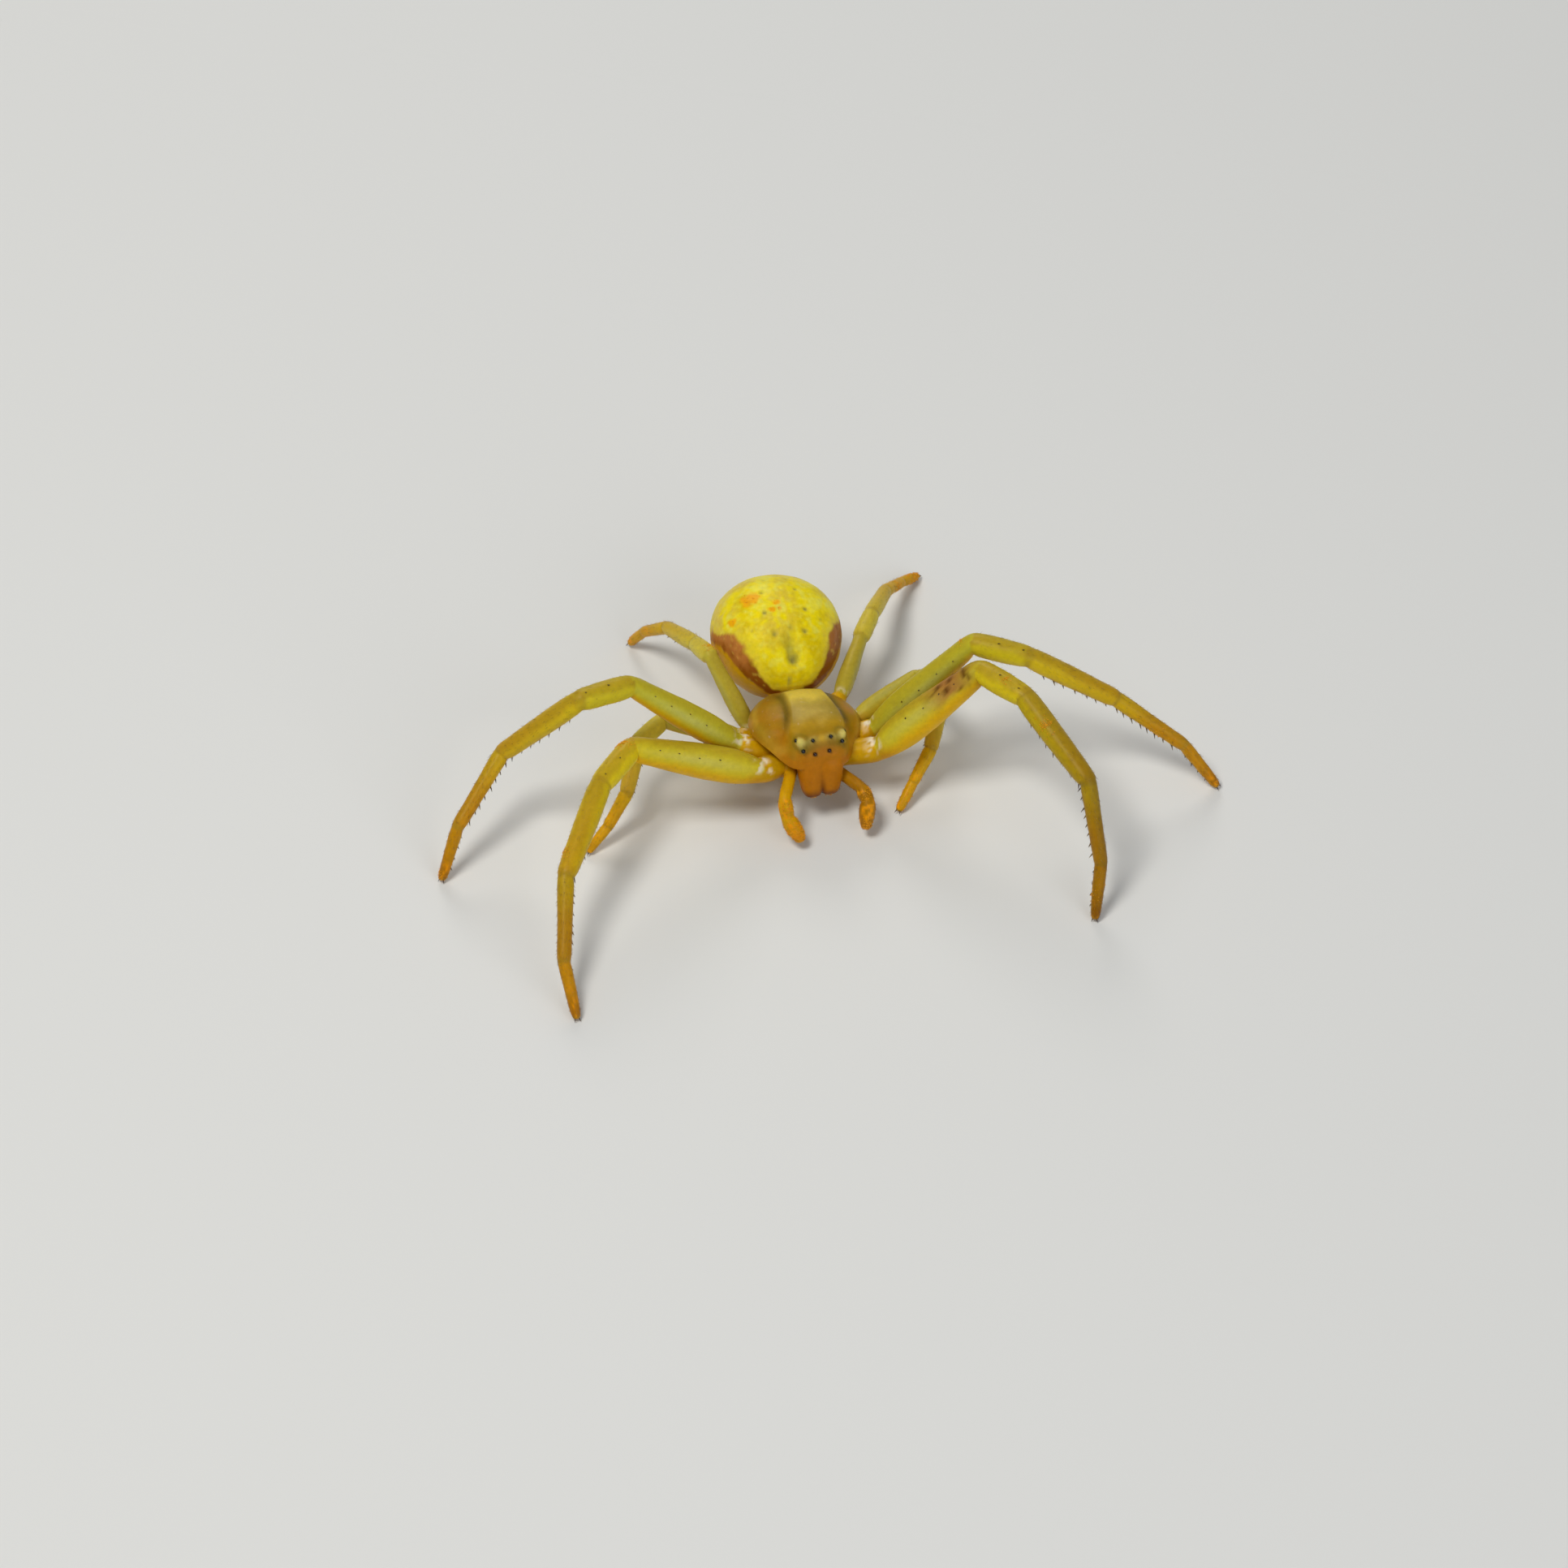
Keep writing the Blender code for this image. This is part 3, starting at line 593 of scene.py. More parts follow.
def hip_skin(pair, side):
    """Inner part of a coxa, from the breastplate to the leg's first ring."""
    head = Vector(COXA_HEADS[pair])
    head.x *= side_sign(side)
    root, hip = leg_joints(pair, side)[:2]
    radius = SEGMENT_RADII[pair][0]
    end = root.lerp(hip, 0.30)
    ways = (root - head).normalized(), (hip - root).normalized()
    rings = [
        ring_matrix(head.lerp(root, share), ways[0], UP, radius * size)
        for share, size in HIP_SHAPE
    ]
    rings.append(ring_matrix(root, ways[0].lerp(ways[1], 0.5), UP, radius * 0.97))
    rings.append(ring_matrix(end, ways[1], UP, radius * 0.95))
    thing = limb("hip", rings, HIP_SIDES)
    lumps = speckle(points_of(thing), 0.22, pair + 2.0)
    paint(thing, blend(blend("femur_below", "amber", 0.45 + 0.3 * lumps), "face", 0.35))
    return thing


# Axis of the left jaw from the face to its tip; both jaws are moved aside
# with the turned head, and lean a little more at the top
CHELICERA_TOP = (0.29, -1.12, 1.72)
CHELICERA_TIP = (0.215, -1.50, 0.70)
CHELICERA_SHIFT = 0.08
CHELICERA_LEAN = 0.07
# Share of its length, radius and flatness along it
CHELICERA_SHAPE = (
    (0.0, 0.30, 1.0), (0.15, 0.33, 1.0), (0.35, 0.33, 0.98), (0.55, 0.315, 0.95),
    (0.70, 0.30, 0.93), (0.80, 0.28, 0.92), (0.88, 0.245, 0.92), (0.95, 0.18, 0.95),
    (0.99, 0.09, 1.0),
)
# Power of the superellipse that a jaw's cross-section follows; 2 is round
JAW_SQUARENESS = 4.0

# Lobes below the mouth: start, end and thickest radius
MOUTH_LOBES = (
    ((0.44, -0.82, 1.21), (0.17, -1.15, 1.08), 0.135),
    ((-0.44, -0.82, 1.21), (-0.17, -1.15, 1.08), 0.135),
    ((0.0, -0.72, 1.13), (0.0, -1.02, 1.10), 0.105),
)
LOBE_SHAPE = ((0.0, 0.6), (0.12, 0.85), (0.4, 1.0), (0.7, 0.95), (0.9, 0.7), (0.99, 0.35))


def mouth_lobe_skins():
    """Two maxillae and the labium between them, behind the jaws."""
    made = []
    aside = Vector((CHELICERA_SHIFT / 2, 0, 0))
    for start, end, thick in MOUTH_LOBES:
        start = Vector(start) + aside
        end = Vector(end) + aside
        rings = [
            ring_matrix(start.lerp(end, share), end - start, UP, thick * size)
            for share, size in LOBE_SHAPE
        ]
        lobe = limb("mouth lobe", rings, LOBE_SIDES)
        paint(lobe, blend("face", "foot_tip", 0.35))
        made.append(lobe)
    return made


# The palp's three lengths, as the legs' profiles
PALP_PROFILES = (
    ((0.0, 1.0, 1.0), (0.3, 0.98, 1.0), (0.6, 0.96, 1.0), (0.85, 1.03, 1.0), (0.96, 0.92, 1.0)),
    ((0.08, 0.93, 1.0), (0.3, 1.02, 1.0), (0.65, 1.02, 1.0), (0.92, 0.90, 1.0)),
    (
        (0.06, 0.92, 1.0), (0.18, 1.06, 1.0), (0.4, 1.06, 1.0), (0.65, 0.95, 1.0),
        (0.88, 0.72, 1.0), (1.0, 0.40, 1.0),
    ),
)


def palp_skin(side):
    """A palp; the left one stands in shade and is a little darker."""
    joints = palp_joints(side)
    thing = limb("palp", limb_rings(joints, PALP_PROFILES, PALP_RADII), PALP_SIDES)
    points = points_of(thing)
    segment, share, *_ = along_limb(points, joints)
    lumps = speckle(points, 0.15, 4.0)
    warm = 0.10 if side == "left" else 0.50
    colours = blend("foot", "femur_below", warm + 0.35 * lumps)
    if side == "left":
        colours = blend(colours, "foot_tip", 0.35) * 0.85
    colours = blend(colours, "face", 0.6 * step(0.6, 0.0, share) * (segment == 0))
    colours = blend(colours, "face", 0.5 * (segment == 2) * share)
    dust = step(0.05, 0.30, speckle(points, 0.13, 27.0)) * (segment > 0)
    colours = blend(colours, "pollen", 0.7 * dust)
    paint(thing, colours)
    return thing


def chelicera_skin(side):
    """Stout basal segment, flat where it meets its fellow in the middle."""
    sign = side_sign(side)
    top = Vector(CHELICERA_TOP)
    tip = Vector(CHELICERA_TIP)
    top.x = top.x * sign + CHELICERA_SHIFT + CHELICERA_LEAN
    tip.x = tip.x * sign + CHELICERA_SHIFT
    rings = [
        ring_matrix(top.lerp(tip, share), tip - top, (0, -1, 0), size, flat)
        for share, size, flat in CHELICERA_SHAPE
    ]
    thing = limb("chelicera", rings, JAW_SIDES)
    points = points_of(thing)
    share = np.clip((top.z - points[:, 2]) / (top.z - tip.z), 0.0, 1.0)
    axis = np.array(top) * (1 - share)[:, None] + np.array(tip) * share[:, None]
    out = points[:, :2] - axis[:, :2]
    unit = np.abs(unit_rows(out))
    square = np.sum(unit ** JAW_SQUARENESS, axis=1) ** (-1 / JAW_SQUARENESS)
    inner = out[:, 0] * sign < 0
    square = 1 + (square - 1) * np.where(inner, 1.0, 0.45) * step(1.0, 0.86, share)
    points[:, :2] = axis[:, :2] + out * square[:, None]
    lumps = speckle(points, 0.2, 7.0 + sign)
    down = step(0.58, 0.92, share + 0.05 * lumps)
    colours = blend("face", "foot_tip", 0.10 + 0.25 * lumps)
    colours = blend(colours, "jaw_tip", 0.95 * down)
    cleft = CHELICERA_SHIFT + CHELICERA_LEAN * (1 - share)
    middle = hump(0.0, 0.05, points[:, 0] - cleft) * step(0.25, 0.6, share)
    colours = blend(colours, "jaw_tip", 0.75 * middle)
    move_points(thing, points)
    paint(thing, colours)
    return thing


# Place, turn and tilt of the front body, and the height of its parts
NOSE_UP = math.radians(7)
PROSOMA_SHIFT = 0.06
PROSOMA_TURN = math.radians(2.5)
PROSOMA_ROLL = math.radians(8)
STERNUM_DEPTH = 0.62
HEAD_RISE = 0.15
EYE_LEDGE = 0.05
EYE_RIDGE = 0.055
CLYPEUS_DROP = 0.22
HEAD_LEAN = 0.08
# Half width of the head at its rear and how much wider it is in front
HEAD_HALF_WIDTH = 0.52
HEAD_WIDENS = 0.21
# Half width and half length of the rim, for the markings
RIM_HALF = (1.47, 1.42)
CARAPACE_GRID = (80, 56)
MERIDIAN_POINTS = 400


def prosoma_place():
    return (Matrix.Translation((PROSOMA_SHIFT, 0, sizes().rim_height / MM))
            @ Matrix.Rotation(PROSOMA_TURN, 4, "Z")
            @ Matrix.Rotation(PROSOMA_ROLL, 4, "Y")
            @ Matrix.Rotation(-NOSE_UP, 4, "X"))


def from_midline(x, y):
    """Distance from the head's midline, which leans aside behind the face."""
    return np.abs(x - HEAD_LEAN * step(-1.0, -0.2, y))


def head_share(x, y):
    """1 on the raised head, 0 beside it, with steep sides."""
    half_width = HEAD_HALF_WIDTH + HEAD_WIDENS * step(0.6, -0.9, y)
    within = step(half_width + 0.15, half_width - 0.06, from_midline(x, y))
    return within * step(1.12, 0.62, y)


def rim_share(way_x, way_y):
    """Share of the rim's ellipse in each direction: square shoulders beside
    the face and straight sides behind them."""
    bearing = np.degrees(np.arctan2(np.abs(way_x), -way_y))
    return 1 + 0.05 * hump(24, 13, bearing) - 0.07 * hump(55, 19, bearing)


def carapace_points(unit):
    """Map points of the unit sphere to the carapace, in its own frame."""
    flat = np.hypot(unit[:, 0], unit[:, 1])
    safe = np.maximum(flat, TINY)
    way_x, way_y = unit[:, 0] / safe, unit[:, 1] / safe
    share = rim_share(way_x, way_y)
    rim_x = sizes().carapace_width / MM / 2 * way_x * share
    rim_y = sizes().carapace_length / MM / 2 * way_y * share
    front = step(0.25, 0.95, -way_y)
    rear = step(0.2, 0.9, way_y)
    boxy = 2.2 + 0.9 * front - 0.3 * rear
    blunt = 2.0 + 0.3 * front - 0.3 * rear
    upper = unit[:, 2] >= 0
    reach = np.where(upper, flat ** 0.62, flat ** 1.6)
    dome = sizes().carapace_dome / MM * np.clip(1 - reach ** boxy, 0, 1) ** (1 / blunt)
    x = rim_x * reach
    y = rim_y * reach
    head = head_share(x, y)
    rise = HEAD_RISE * head * step(0.0, 0.25, dome)
    beside = hump(0.35, 0.35, head) * step(0.12, 0.4, dome) * step(-1.25, -1.0, y)
    grooves = 0.014 * np.cos(7 * np.arctan2(x, y)) * step(0.3, 0.6, reach)
    grooves = grooves * step(1.0, 0.8, reach) * (1 - head)
    slope = EYE_LEDGE * step(-1.02, -1.30, y) * step(0.80, 0.55, np.abs(x)) * step(0.1, 0.3, dome)
    ridge = EYE_RIDGE * hump(-1.17, 0.08, y + 0.10 * np.abs(x))
    ridge = ridge * step(0.68, 0.52, np.abs(x)) * step(0.05, 0.25, np.abs(x))
    top = dome + rise - 0.035 * beside + grooves - slope + ridge * step(0.1, 0.3, dome)
    below = -STERNUM_DEPTH * np.clip(1 - flat ** 2, 0, 1) ** 0.7
    lip = 0.012 * hump(0.0, 0.09, unit[:, 2])
    out = 1 + lip / 1.45
    drop = CLYPEUS_DROP * front * step(0.76, 1.0, reach)
    z = np.where(upper, top - drop, below - drop * step(0.5, 1.0, reach))
    return np.stack((x * out, y * out, z), axis=1)


def unit_sphere(name, grid):
    """Sphere to be shaped, with segments around and across as given."""
    bm = bmesh.new()
    bmesh.ops.create_uvsphere(bm, u_segments=grid[0], v_segments=grid[1], radius=1.0)
    return subdivided(new_object(name, bm))


def placed(points, matrix):
    """Rows of points moved and turned by a matrix."""
    turn = np.array(matrix.to_3x3())
    return points @ turn.T + np.array(matrix.translation)


def carapace_at(x, y):
    """Point of the carapace at a place in plan, found along its meridian."""
    angle = math.atan2(x, y)
    lifts = np.linspace(0.0, math.pi / 2, MERIDIAN_POINTS)
    level = np.cos(lifts)
    unit = np.stack((math.sin(angle) * level, math.cos(angle) * level, np.sin(lifts)), axis=1)
    line = carapace_points(unit)
    missed = np.abs(np.hypot(line[:, 0], line[:, 1]) - math.hypot(x, y))
    return Vector(line[int(np.argmin(missed))])


def carapace_frame(x, y):
    """Point and outward direction of the carapace at a place in plan."""
    here = carapace_at(x, y)
    reach = 0.05
    along_x = carapace_at(x + reach, y) - carapace_at(x - reach, y)
    along_y = carapace_at(x, y + reach) - carapace_at(x, y - reach)
    return here, along_x.cross(along_y).normalized()


def eye_places():
    """Lens centre and radius, outward direction, seat and tubercle radius of
    each eye, in the carapace's own frame."""
    places = {}
    for kind, (across, along, radius, tubercle) in EYES.items():
        for side in SIDES:
            slant = EYE_SLANT * across * side_sign(side)
            here, out = carapace_frame(across * side_sign(side), along + slant)
            look = out
            if kind == "posterior_lateral":
                aside = Vector((0.72 * side_sign(side), 0.68, 0.0))
                look = (out * 0.10 + aside).normalized()
            if tubercle:
                lift = look * (tubercle * TUBERCLE_SHOWS + radius * LENS_SHOWS)
            else:
                lift = look * radius * LENS_SHOWS
            places[(kind, side)] = (here + out * tubercle * 0.12 + lift, radius, out, here, tubercle)
    return places


def carapace_colours(local):
    """Amber sides, a cream head between brown stripes, and a pale eye ridge."""
    x, y, z = local.T
    lumps = speckle(local, 0.30, 2.0)
    fine = speckle(local, 0.09, 5.0)
    upper = z > 0.0
    head = head_share(x, y) * upper
    reach = np.hypot(x / RIM_HALF[0], y / RIM_HALF[1])
    colours = blend("amber", "face", 0.30 + 0.35 * lumps + 0.45 * step(-0.3, -1.2, y))
    # Painted highlight: a paler band along the bulging rim
    rim_highlight = hump(0.90, 0.05, reach) * (z > -0.2) * step(-1.3, -1.0, y) * (0.6 + 0.4 * lumps)
    colours = blend(colours, "abdomen_gold", 0.38 * rim_highlight)
    colours = blend(colours, "cream", 0.35 * step(-0.2, 0.5, y) * step(0.8, 0.5, reach))
    veil = step(0.1, 0.9, y) * step(1.3, 0.9, reach) * (1 - head)
    colours = blend(colours, "cream", 0.30 * veil * upper)
    # Brown stripes beside the head, wider on the left
    centre = 0.59 + 0.20 * step(0.6, -0.9, y)
    far_side = step(0.0, 0.3, x)
    band = (from_midline(x, y) - centre - 0.05 * far_side) / (0.11 + 0.03 * far_side)
    beside = np.exp(-band ** 2) * step(1.10, 0.75, y) * step(-0.85, -0.30, y)
    dark = (0.82 + 0.15 * far_side + 0.2 * fine) * beside
    colours = blend(colours, "stripe", dark * upper)
    # Raised middle, palest behind
    crown = blend("amber", "cream", 0.20 + 0.60 * step(-1.00, -0.30, y) + 0.25 * lumps)
    crown = blend(crown, "femur_below", 0.25 * hump(-0.78, 0.20, y))
    blush = hump(-0.35, 0.28, y + 0.3 * lumps) * step(0.6, 0.2, np.abs(x))
    crown = blend(crown, "peach", 0.45 * blush)
    crown = blend(crown, "abdomen_gold", 0.95 * step(-0.20, 0.35, y + 0.2 * lumps))
    crown = crown * (1 + 0.14 * step(-0.1, 0.5, y))[:, None]
    colours = blend(colours, crown, 0.92 * head * (1 - 0.8 * beside))
    # Eye ridge, with painted olive shade in the hollow below it, deepest below the knobs
    knobs = step(0.08, 0.26, np.abs(x)) * step(0.66, 0.54, np.abs(x))
    ridge = hump(-1.16, 0.060, y + 0.08 * np.abs(x) - EYE_SLANT * x) * (z > 0.3)
    pale = (0.35 + 0.20 * knobs) * ridge * step(0.72, 0.62, np.abs(x))
    colours = blend(colours, "eye_ridge", pale)
    ridge_shade = hump(-1.25, 0.045, y + 0.06 * np.abs(x) - EYE_SLANT * x)
    ridge_shade = ridge_shade * step(0.70, 0.58, np.abs(x)) * (z > 0.2)
    colours = blend(colours, "olive", (0.45 + 0.40 * knobs) * ridge_shade)
    colours = blend(colours, "femur_below", 0.55 * hump(0.0, 0.11, x) * ridge)
    # Face, mask between the front eyes, glints, and breastplate
    front = step(-1.0, -1.34, y + 0.15 * np.abs(x))
    colours = blend(colours, "face", 0.85 * front * (1 - ridge) * (1 - 0.6 * ridge_shade))
    colours = blend(colours, "femur_below", 0.5 * (z < -0.02) * step(-0.9, -0.5, y))
    mask = hump(0.0, 0.30, x - 0.02) * hump(-1.31, 0.07, y) * upper
    colours = blend(colours, "foot_tip", 0.40 * mask)
    glint = step(0.60, 0.74, speckle(local, 0.085, 31.0)) * step(-1.0, -0.6, y) * upper
    colours = blend(colours, "membrane_and_glint_white", 0.22 * glint)
    plate = step(-0.42, -0.50, z + 0.02 * lumps) * step(-1.0, -0.8, y)
    colours = blend(colours, "abdomen_gold", 0.35 * plate)
    return colours


def carapace_skin():
    """Front body with the swellings that carry its side eyes."""
    thing = unit_sphere("carapace", CARAPACE_GRID)
    local = carapace_points(unit_rows(points_of(thing)))
    colours = carapace_colours(local)
    for centre, radius, out, here, tubercle in eye_places().values():
        gap = local - np.array(here)
        away = np.linalg.norm(gap, axis=1)
        if tubercle:
            bright = tubercle > PALE_KNOB
            swell = tubercle * 0.95 * np.exp(-(away / (tubercle * 0.78)) ** 2)
            local = local + np.array(out) * swell[:, None]
            # Painted olive shade in a ring round the foot of each knob
            knob_foot_shade = hump(1.25, 0.28, away / tubercle) * (local[:, 2] > 0.2)
            colours = blend(colours, "olive", (0.55 if bright else 0.25) * knob_foot_shade)
            knob = step(tubercle * 0.95, tubercle * 0.55, away)
            tone = rgb("eye_ridge") * (1.15 if bright else 0.8)
            colours = blend(colours, tone, (0.9 if bright else 0.35) * knob)
        gap = local - np.array(centre)
        away = np.linalg.norm(gap, axis=1)
        colours = blend(colours, rgb("stripe") * 0.35, 0.9 * step(radius * 1.5, radius * 1.0, away))
    move_points(thing, placed(local, prosoma_place()))
    paint(thing, colours)
    return thing


ABDOMEN_CENTRE = (0.0, 2.74, 2.14)
ABDOMEN_REAR_UP = math.radians(10)
ABDOMEN_ROLL = math.radians(7)

ABDOMEN_GRID = (88, 60)
# Half width and half length, to find a place on the back
ABDOMEN_HALF = (1.67, 1.7)

# Muscle pits on the back: across, along, depth, width and darkness, which is their own tone with painted
# shade in the hollow
SIGILLA = (
    (0.02, -1.22, 0.24, 0.15, 0.9), (-0.02, -0.96, 0.15, 0.18, 0.40),
    (-0.02, -0.75, 0.05, 0.14, 0.15), (-0.10, -1.62, 0.03, 0.06, 0.70),
    (0.40, -0.67, 0.05, 0.075, 0.65), (-0.40, -0.67, 0.05, 0.075, 0.65),
    (0.53, -0.05, 0.045, 0.075, 0.80), (-0.53, -0.05, 0.045, 0.07, 0.80),
    (0.42, 0.62, 0.035, 0.06, 0.45), (-0.46, 0.60, 0.035, 0.06, 0.45),
    (0.02, -0.55, 0.02, 0.07, 0.30),
    (0.90, -0.30, 0.02, 0.05, 0.35), (-0.92, -0.45, 0.02, 0.05, 0.30),
    (0.30, 1.05, 0.02, 0.05, 0.30), (-0.28, 1.10, 0.02, 0.05, 0.30),
)

# Height at which the yellow back ends, and depth of the rust band under it,
# for places along the abdomen
BAND_ALONG = (-1.70, -1.50, -1.10, -0.70, -0.30, 0.10, 0.50, 1.70)
BACK_EDGE = (0.00, 0.29, 0.64, 0.80, 0.74, 0.28, 0.02, -0.10)
BAND_DEPTH = (0.20, 0.32, 0.38, 0.42, 0.42, 0.34, 0.30, 0.30)

# Smears of pollen on the back: across, along and reach
SMEARS = (
    (-0.78, 0.46, 0.28), (-0.16, 0.18, 0.12), (-0.14, 0.02, 0.11), (-0.34, 0.0, 0.11),
    (-1.30, 0.0, 0.12),
)


def abdomen_place():
    return (Matrix.Translation(ABDOMEN_CENTRE)
            @ Matrix.Rotation(ABDOMEN_ROLL, 4, "Y")
            @ Matrix.Rotation(ABDOMEN_REAR_UP, 4, "X"))


def abdomen_points(unit):
    """Map points of the unit sphere to the abdomen, widest behind its middle."""
    x, y, z = unit[:, 0], unit[:, 1], unit[:, 2]
    widen = 1 + 0.07 * y - 0.05 * y ** 2
    out_x = sizes().abdomen_width / MM / 2 * np.sign(x) * np.abs(x) ** 0.94 * widen
    out_y = sizes().abdomen_length / MM / 2 * np.sign(y) * np.abs(y) ** 0.96
    out_z = sizes().abdomen_height / MM / 2 * np.sign(z) * np.abs(z) ** 0.95
    out_z = np.where(z < 0, out_z * 0.94, out_z)
    points = np.stack((out_x, out_y, out_z), axis=1)
    back = step(0.2, 0.6, z)
    for across, along, depth, width, _ in SIGILLA:
        away = np.hypot(out_x - across, (out_y - along) * 0.9)
        points[:, 2] -= depth * np.exp(-(away / width) ** 2) * back
    folds = 0.010 * np.sin(out_y * 9 + 1.5 * np.cos(out_x * 2))
    folds = folds * step(0.35, -0.1, np.abs(z)) * step(0.2, 1.0, y)
    dimples = -0.006 * step(0.1, 0.5, speckle(points, 0.10, 15.0))
    dimples = dimples + 0.006 * speckle(points, 0.30, 16.0)
    return points * (1 + folds + dimples)[:, None]


def abdomen_colours(local):
    """Mottled yellow back over rust bands, amber flanks and belly."""
    x, y, z = local.T
    lumps = speckle(local, 0.16, 11.0)
    coarse = speckle(local, 0.55, 12.0)
    dots = speckle(local, 0.11, 13.0)
    colours = blend("abdomen_yellow", "abdomen_shade", step(-0.30, 0.50, 0.5 * lumps + coarse))
    cream = hump(-0.15, 0.40, x - 0.2 * y) * hump(0.0, 0.75, y)
    cream = cream + step(0.95, 1.45, np.abs(x)) + step(0.8, 1.3, y)
    cream = np.clip(cream, 0, 1) * step(-0.5, 0.3, coarse + lumps)
    colours = blend(colours, "peach", 0.55 * cream)
    mottling = 0.28 * step(-0.10, 0.60, dots) + 0.45 * step(0.1, 0.6, lumps - coarse)
    colours = blend(colours, "abdomen_pale", mottling)
    # Edge of the yellow back and the rust band below it, deeper on the left
    left = step(0.0, 0.6, x)
    edge = z - np.interp(y, BAND_ALONG, BACK_EDGE) - left * (0.07 + 0.24 * hump(0.45, 0.35, y))
    edge = edge + 0.07 * coarse + 0.05 * lumps + 0.025 * dots
    depth = np.interp(y, BAND_ALONG, BAND_DEPTH) + 0.12 * left
    fade = step(0.62, 0.12, y - 0.35 * left + 0.2 * lumps)
    side = blend("abdomen_gold", "abdomen_yellow", 0.4 + 0.4 * lumps)
    colours = blend(colours, side, 0.7 * step(0.25, 0.0, edge))
    deep = step(-0.8, -1.35, y) + 0.45 * left + 0.35 * step(0.1, 0.6, lumps)
    rust = blend("rust", "rust_dark", deep + 0.4 * step(-0.18, -0.30, edge))
    rust = blend(rust, "abdomen_gold", 0.45 * step(0.35, 0.60, dots))
    colours = blend(colours, rust, step(0.06, -0.06, edge) * fade)
    under = step(-0.04, 0.05, -edge - depth)
    flank = blend("flank", "femur_below", 0.35 + 0.35 * coarse)
    colours = blend(colours, flank, under * (0.35 + 0.65 * fade))
    # Belly with its furrow and the two lung patches
    belly = step(-0.35, -0.85, z)
    colours = blend(colours, "flank", 0.8 * belly)
    furrow = hump(-0.72 + 0.10 * x ** 2, 0.035, y) * step(0.62, 0.50, np.abs(x)) * belly
    lungs = hump(0.0, 0.16, np.hypot((np.abs(x) - 0.42) * 0.8, y + 0.95)) * belly
    colours = blend(colours, "rust_dark", 0.45 * furrow)
    colours = blend(colours, "peach", 0.40 * lungs)
    # Muscle pits: their own grey tone, with painted shade in the hollow, darkest at the bottom
    for across, along, _, width, dark in SIGILLA:
        away = np.hypot(x - across, y - along) * (1 + 0.35 * dots)
        pit = dark * np.exp(-(away / (width * 0.85)) ** 2)
        colours = blend(colours, "sigilla", pit * (z > 0))
        pit_floor_shade = 0.50 * dark * np.exp(-(away / (width * 0.50)) ** 2)
        colours = blend(colours, "stripe", pit_floor_shade * (z > 0))
    for across, along, reach in SMEARS:
        away = np.hypot(x - across, y - along) + 0.10 * lumps + 0.05 * dots
        colours = blend(colours, "pollen", 0.8 * step(reach, reach * 0.45, away) * (z > 0))
    return colours


def abdomen_skin():
    thing = unit_sphere("abdomen", ABDOMEN_GRID)
    local = abdomen_points(unit_rows(points_of(thing)))
    paint(thing, abdomen_colours(local))
    move_points(thing, placed(local, abdomen_place()))
    return thing


SPINNERET_SEAT = (0.0, 1.50, -0.62)
SPINNERET_WAY = (0.0, 0.80, -0.60)
# Distance along the collar and its radius there
COLLAR_SHAPE = ((-0.2, 0.3), (0.05, 0.3), (0.12, 0.27), (0.16, 0.2))
COLLAR_SIDES = 14
# Across and up from the seat for each pair, longest first
SPINNERET_PAIRS = ((0.13, 0.10), (0.16, -0.04), (0.08, -0.15))
SPINNERET_SHAPE = ((0.0, 0.09), (0.5, 0.085), (0.72, 0.07), (0.92, 0.05), (1.0, 0.03))
SPINNERET_SIDES = 8


def spinneret_skins():
    """Three pairs of short cones on a low collar."""
    seat = Vector(SPINNERET_SEAT)
    out = Vector(SPINNERET_WAY).normalized()
    rings = [ring_matrix(seat + out * reach, out, UP, radius) for reach, radius in COLLAR_SHAPE]
    made = [limb("collar", rings, COLLAR_SIDES)]
    for number, (across, lift) in enumerate(SPINNERET_PAIRS):
        for sign in (-1, 1):
            start = seat + Vector((across * sign, lift * 0.6, lift * 0.8))
            lean = (out + Vector((0.2 * sign, 0, lift * 0.8))).normalized()
            reach = 0.36 - number * 0.03
            rings = [
                ring_matrix(start + lean * reach * share, lean, UP, radius)
                for share, radius in SPINNERET_SHAPE
            ]
            made.append(limb("spinneret", rings, SPINNERET_SIDES))
    for thing in made:
        thing.data.transform(abdomen_place())
        points = points_of(thing)
        paint(thing, blend("flank", "stripe", 0.35 + 0.3 * speckle(points, 0.1, 3.0)))
    return made


def fuse(thing, pieces):
    """Join closed skins into one surface that keeps its painted colours."""
    group = bpy.data.collections.new("skin pieces")
    bpy.context.scene.collection.children.link(group)
    for piece in pieces:
        bpy.context.scene.collection.objects.unlink(piece)
        group.objects.link(piece)
    union = thing.modifiers.new("Join", "BOOLEAN")
    union.operation = "UNION"
    union.operand_type = "COLLECTION"
    union.collection = group
    union.solver = "MANIFOLD"
    apply_modifiers(thing)
    for piece in pieces:
        bpy.data.objects.remove(piece, do_unlink=True)
    bpy.data.collections.remove(group)


# How far colours spread over new points, how many rows beside a seam are
# smoothed, and how often
SEAM_ROUNDS = 8
SEAM_ROWS = 2
SEAM_SMOOTHINGS = 4
# Alpha above which a point is taken as new
FRESH = 0.75


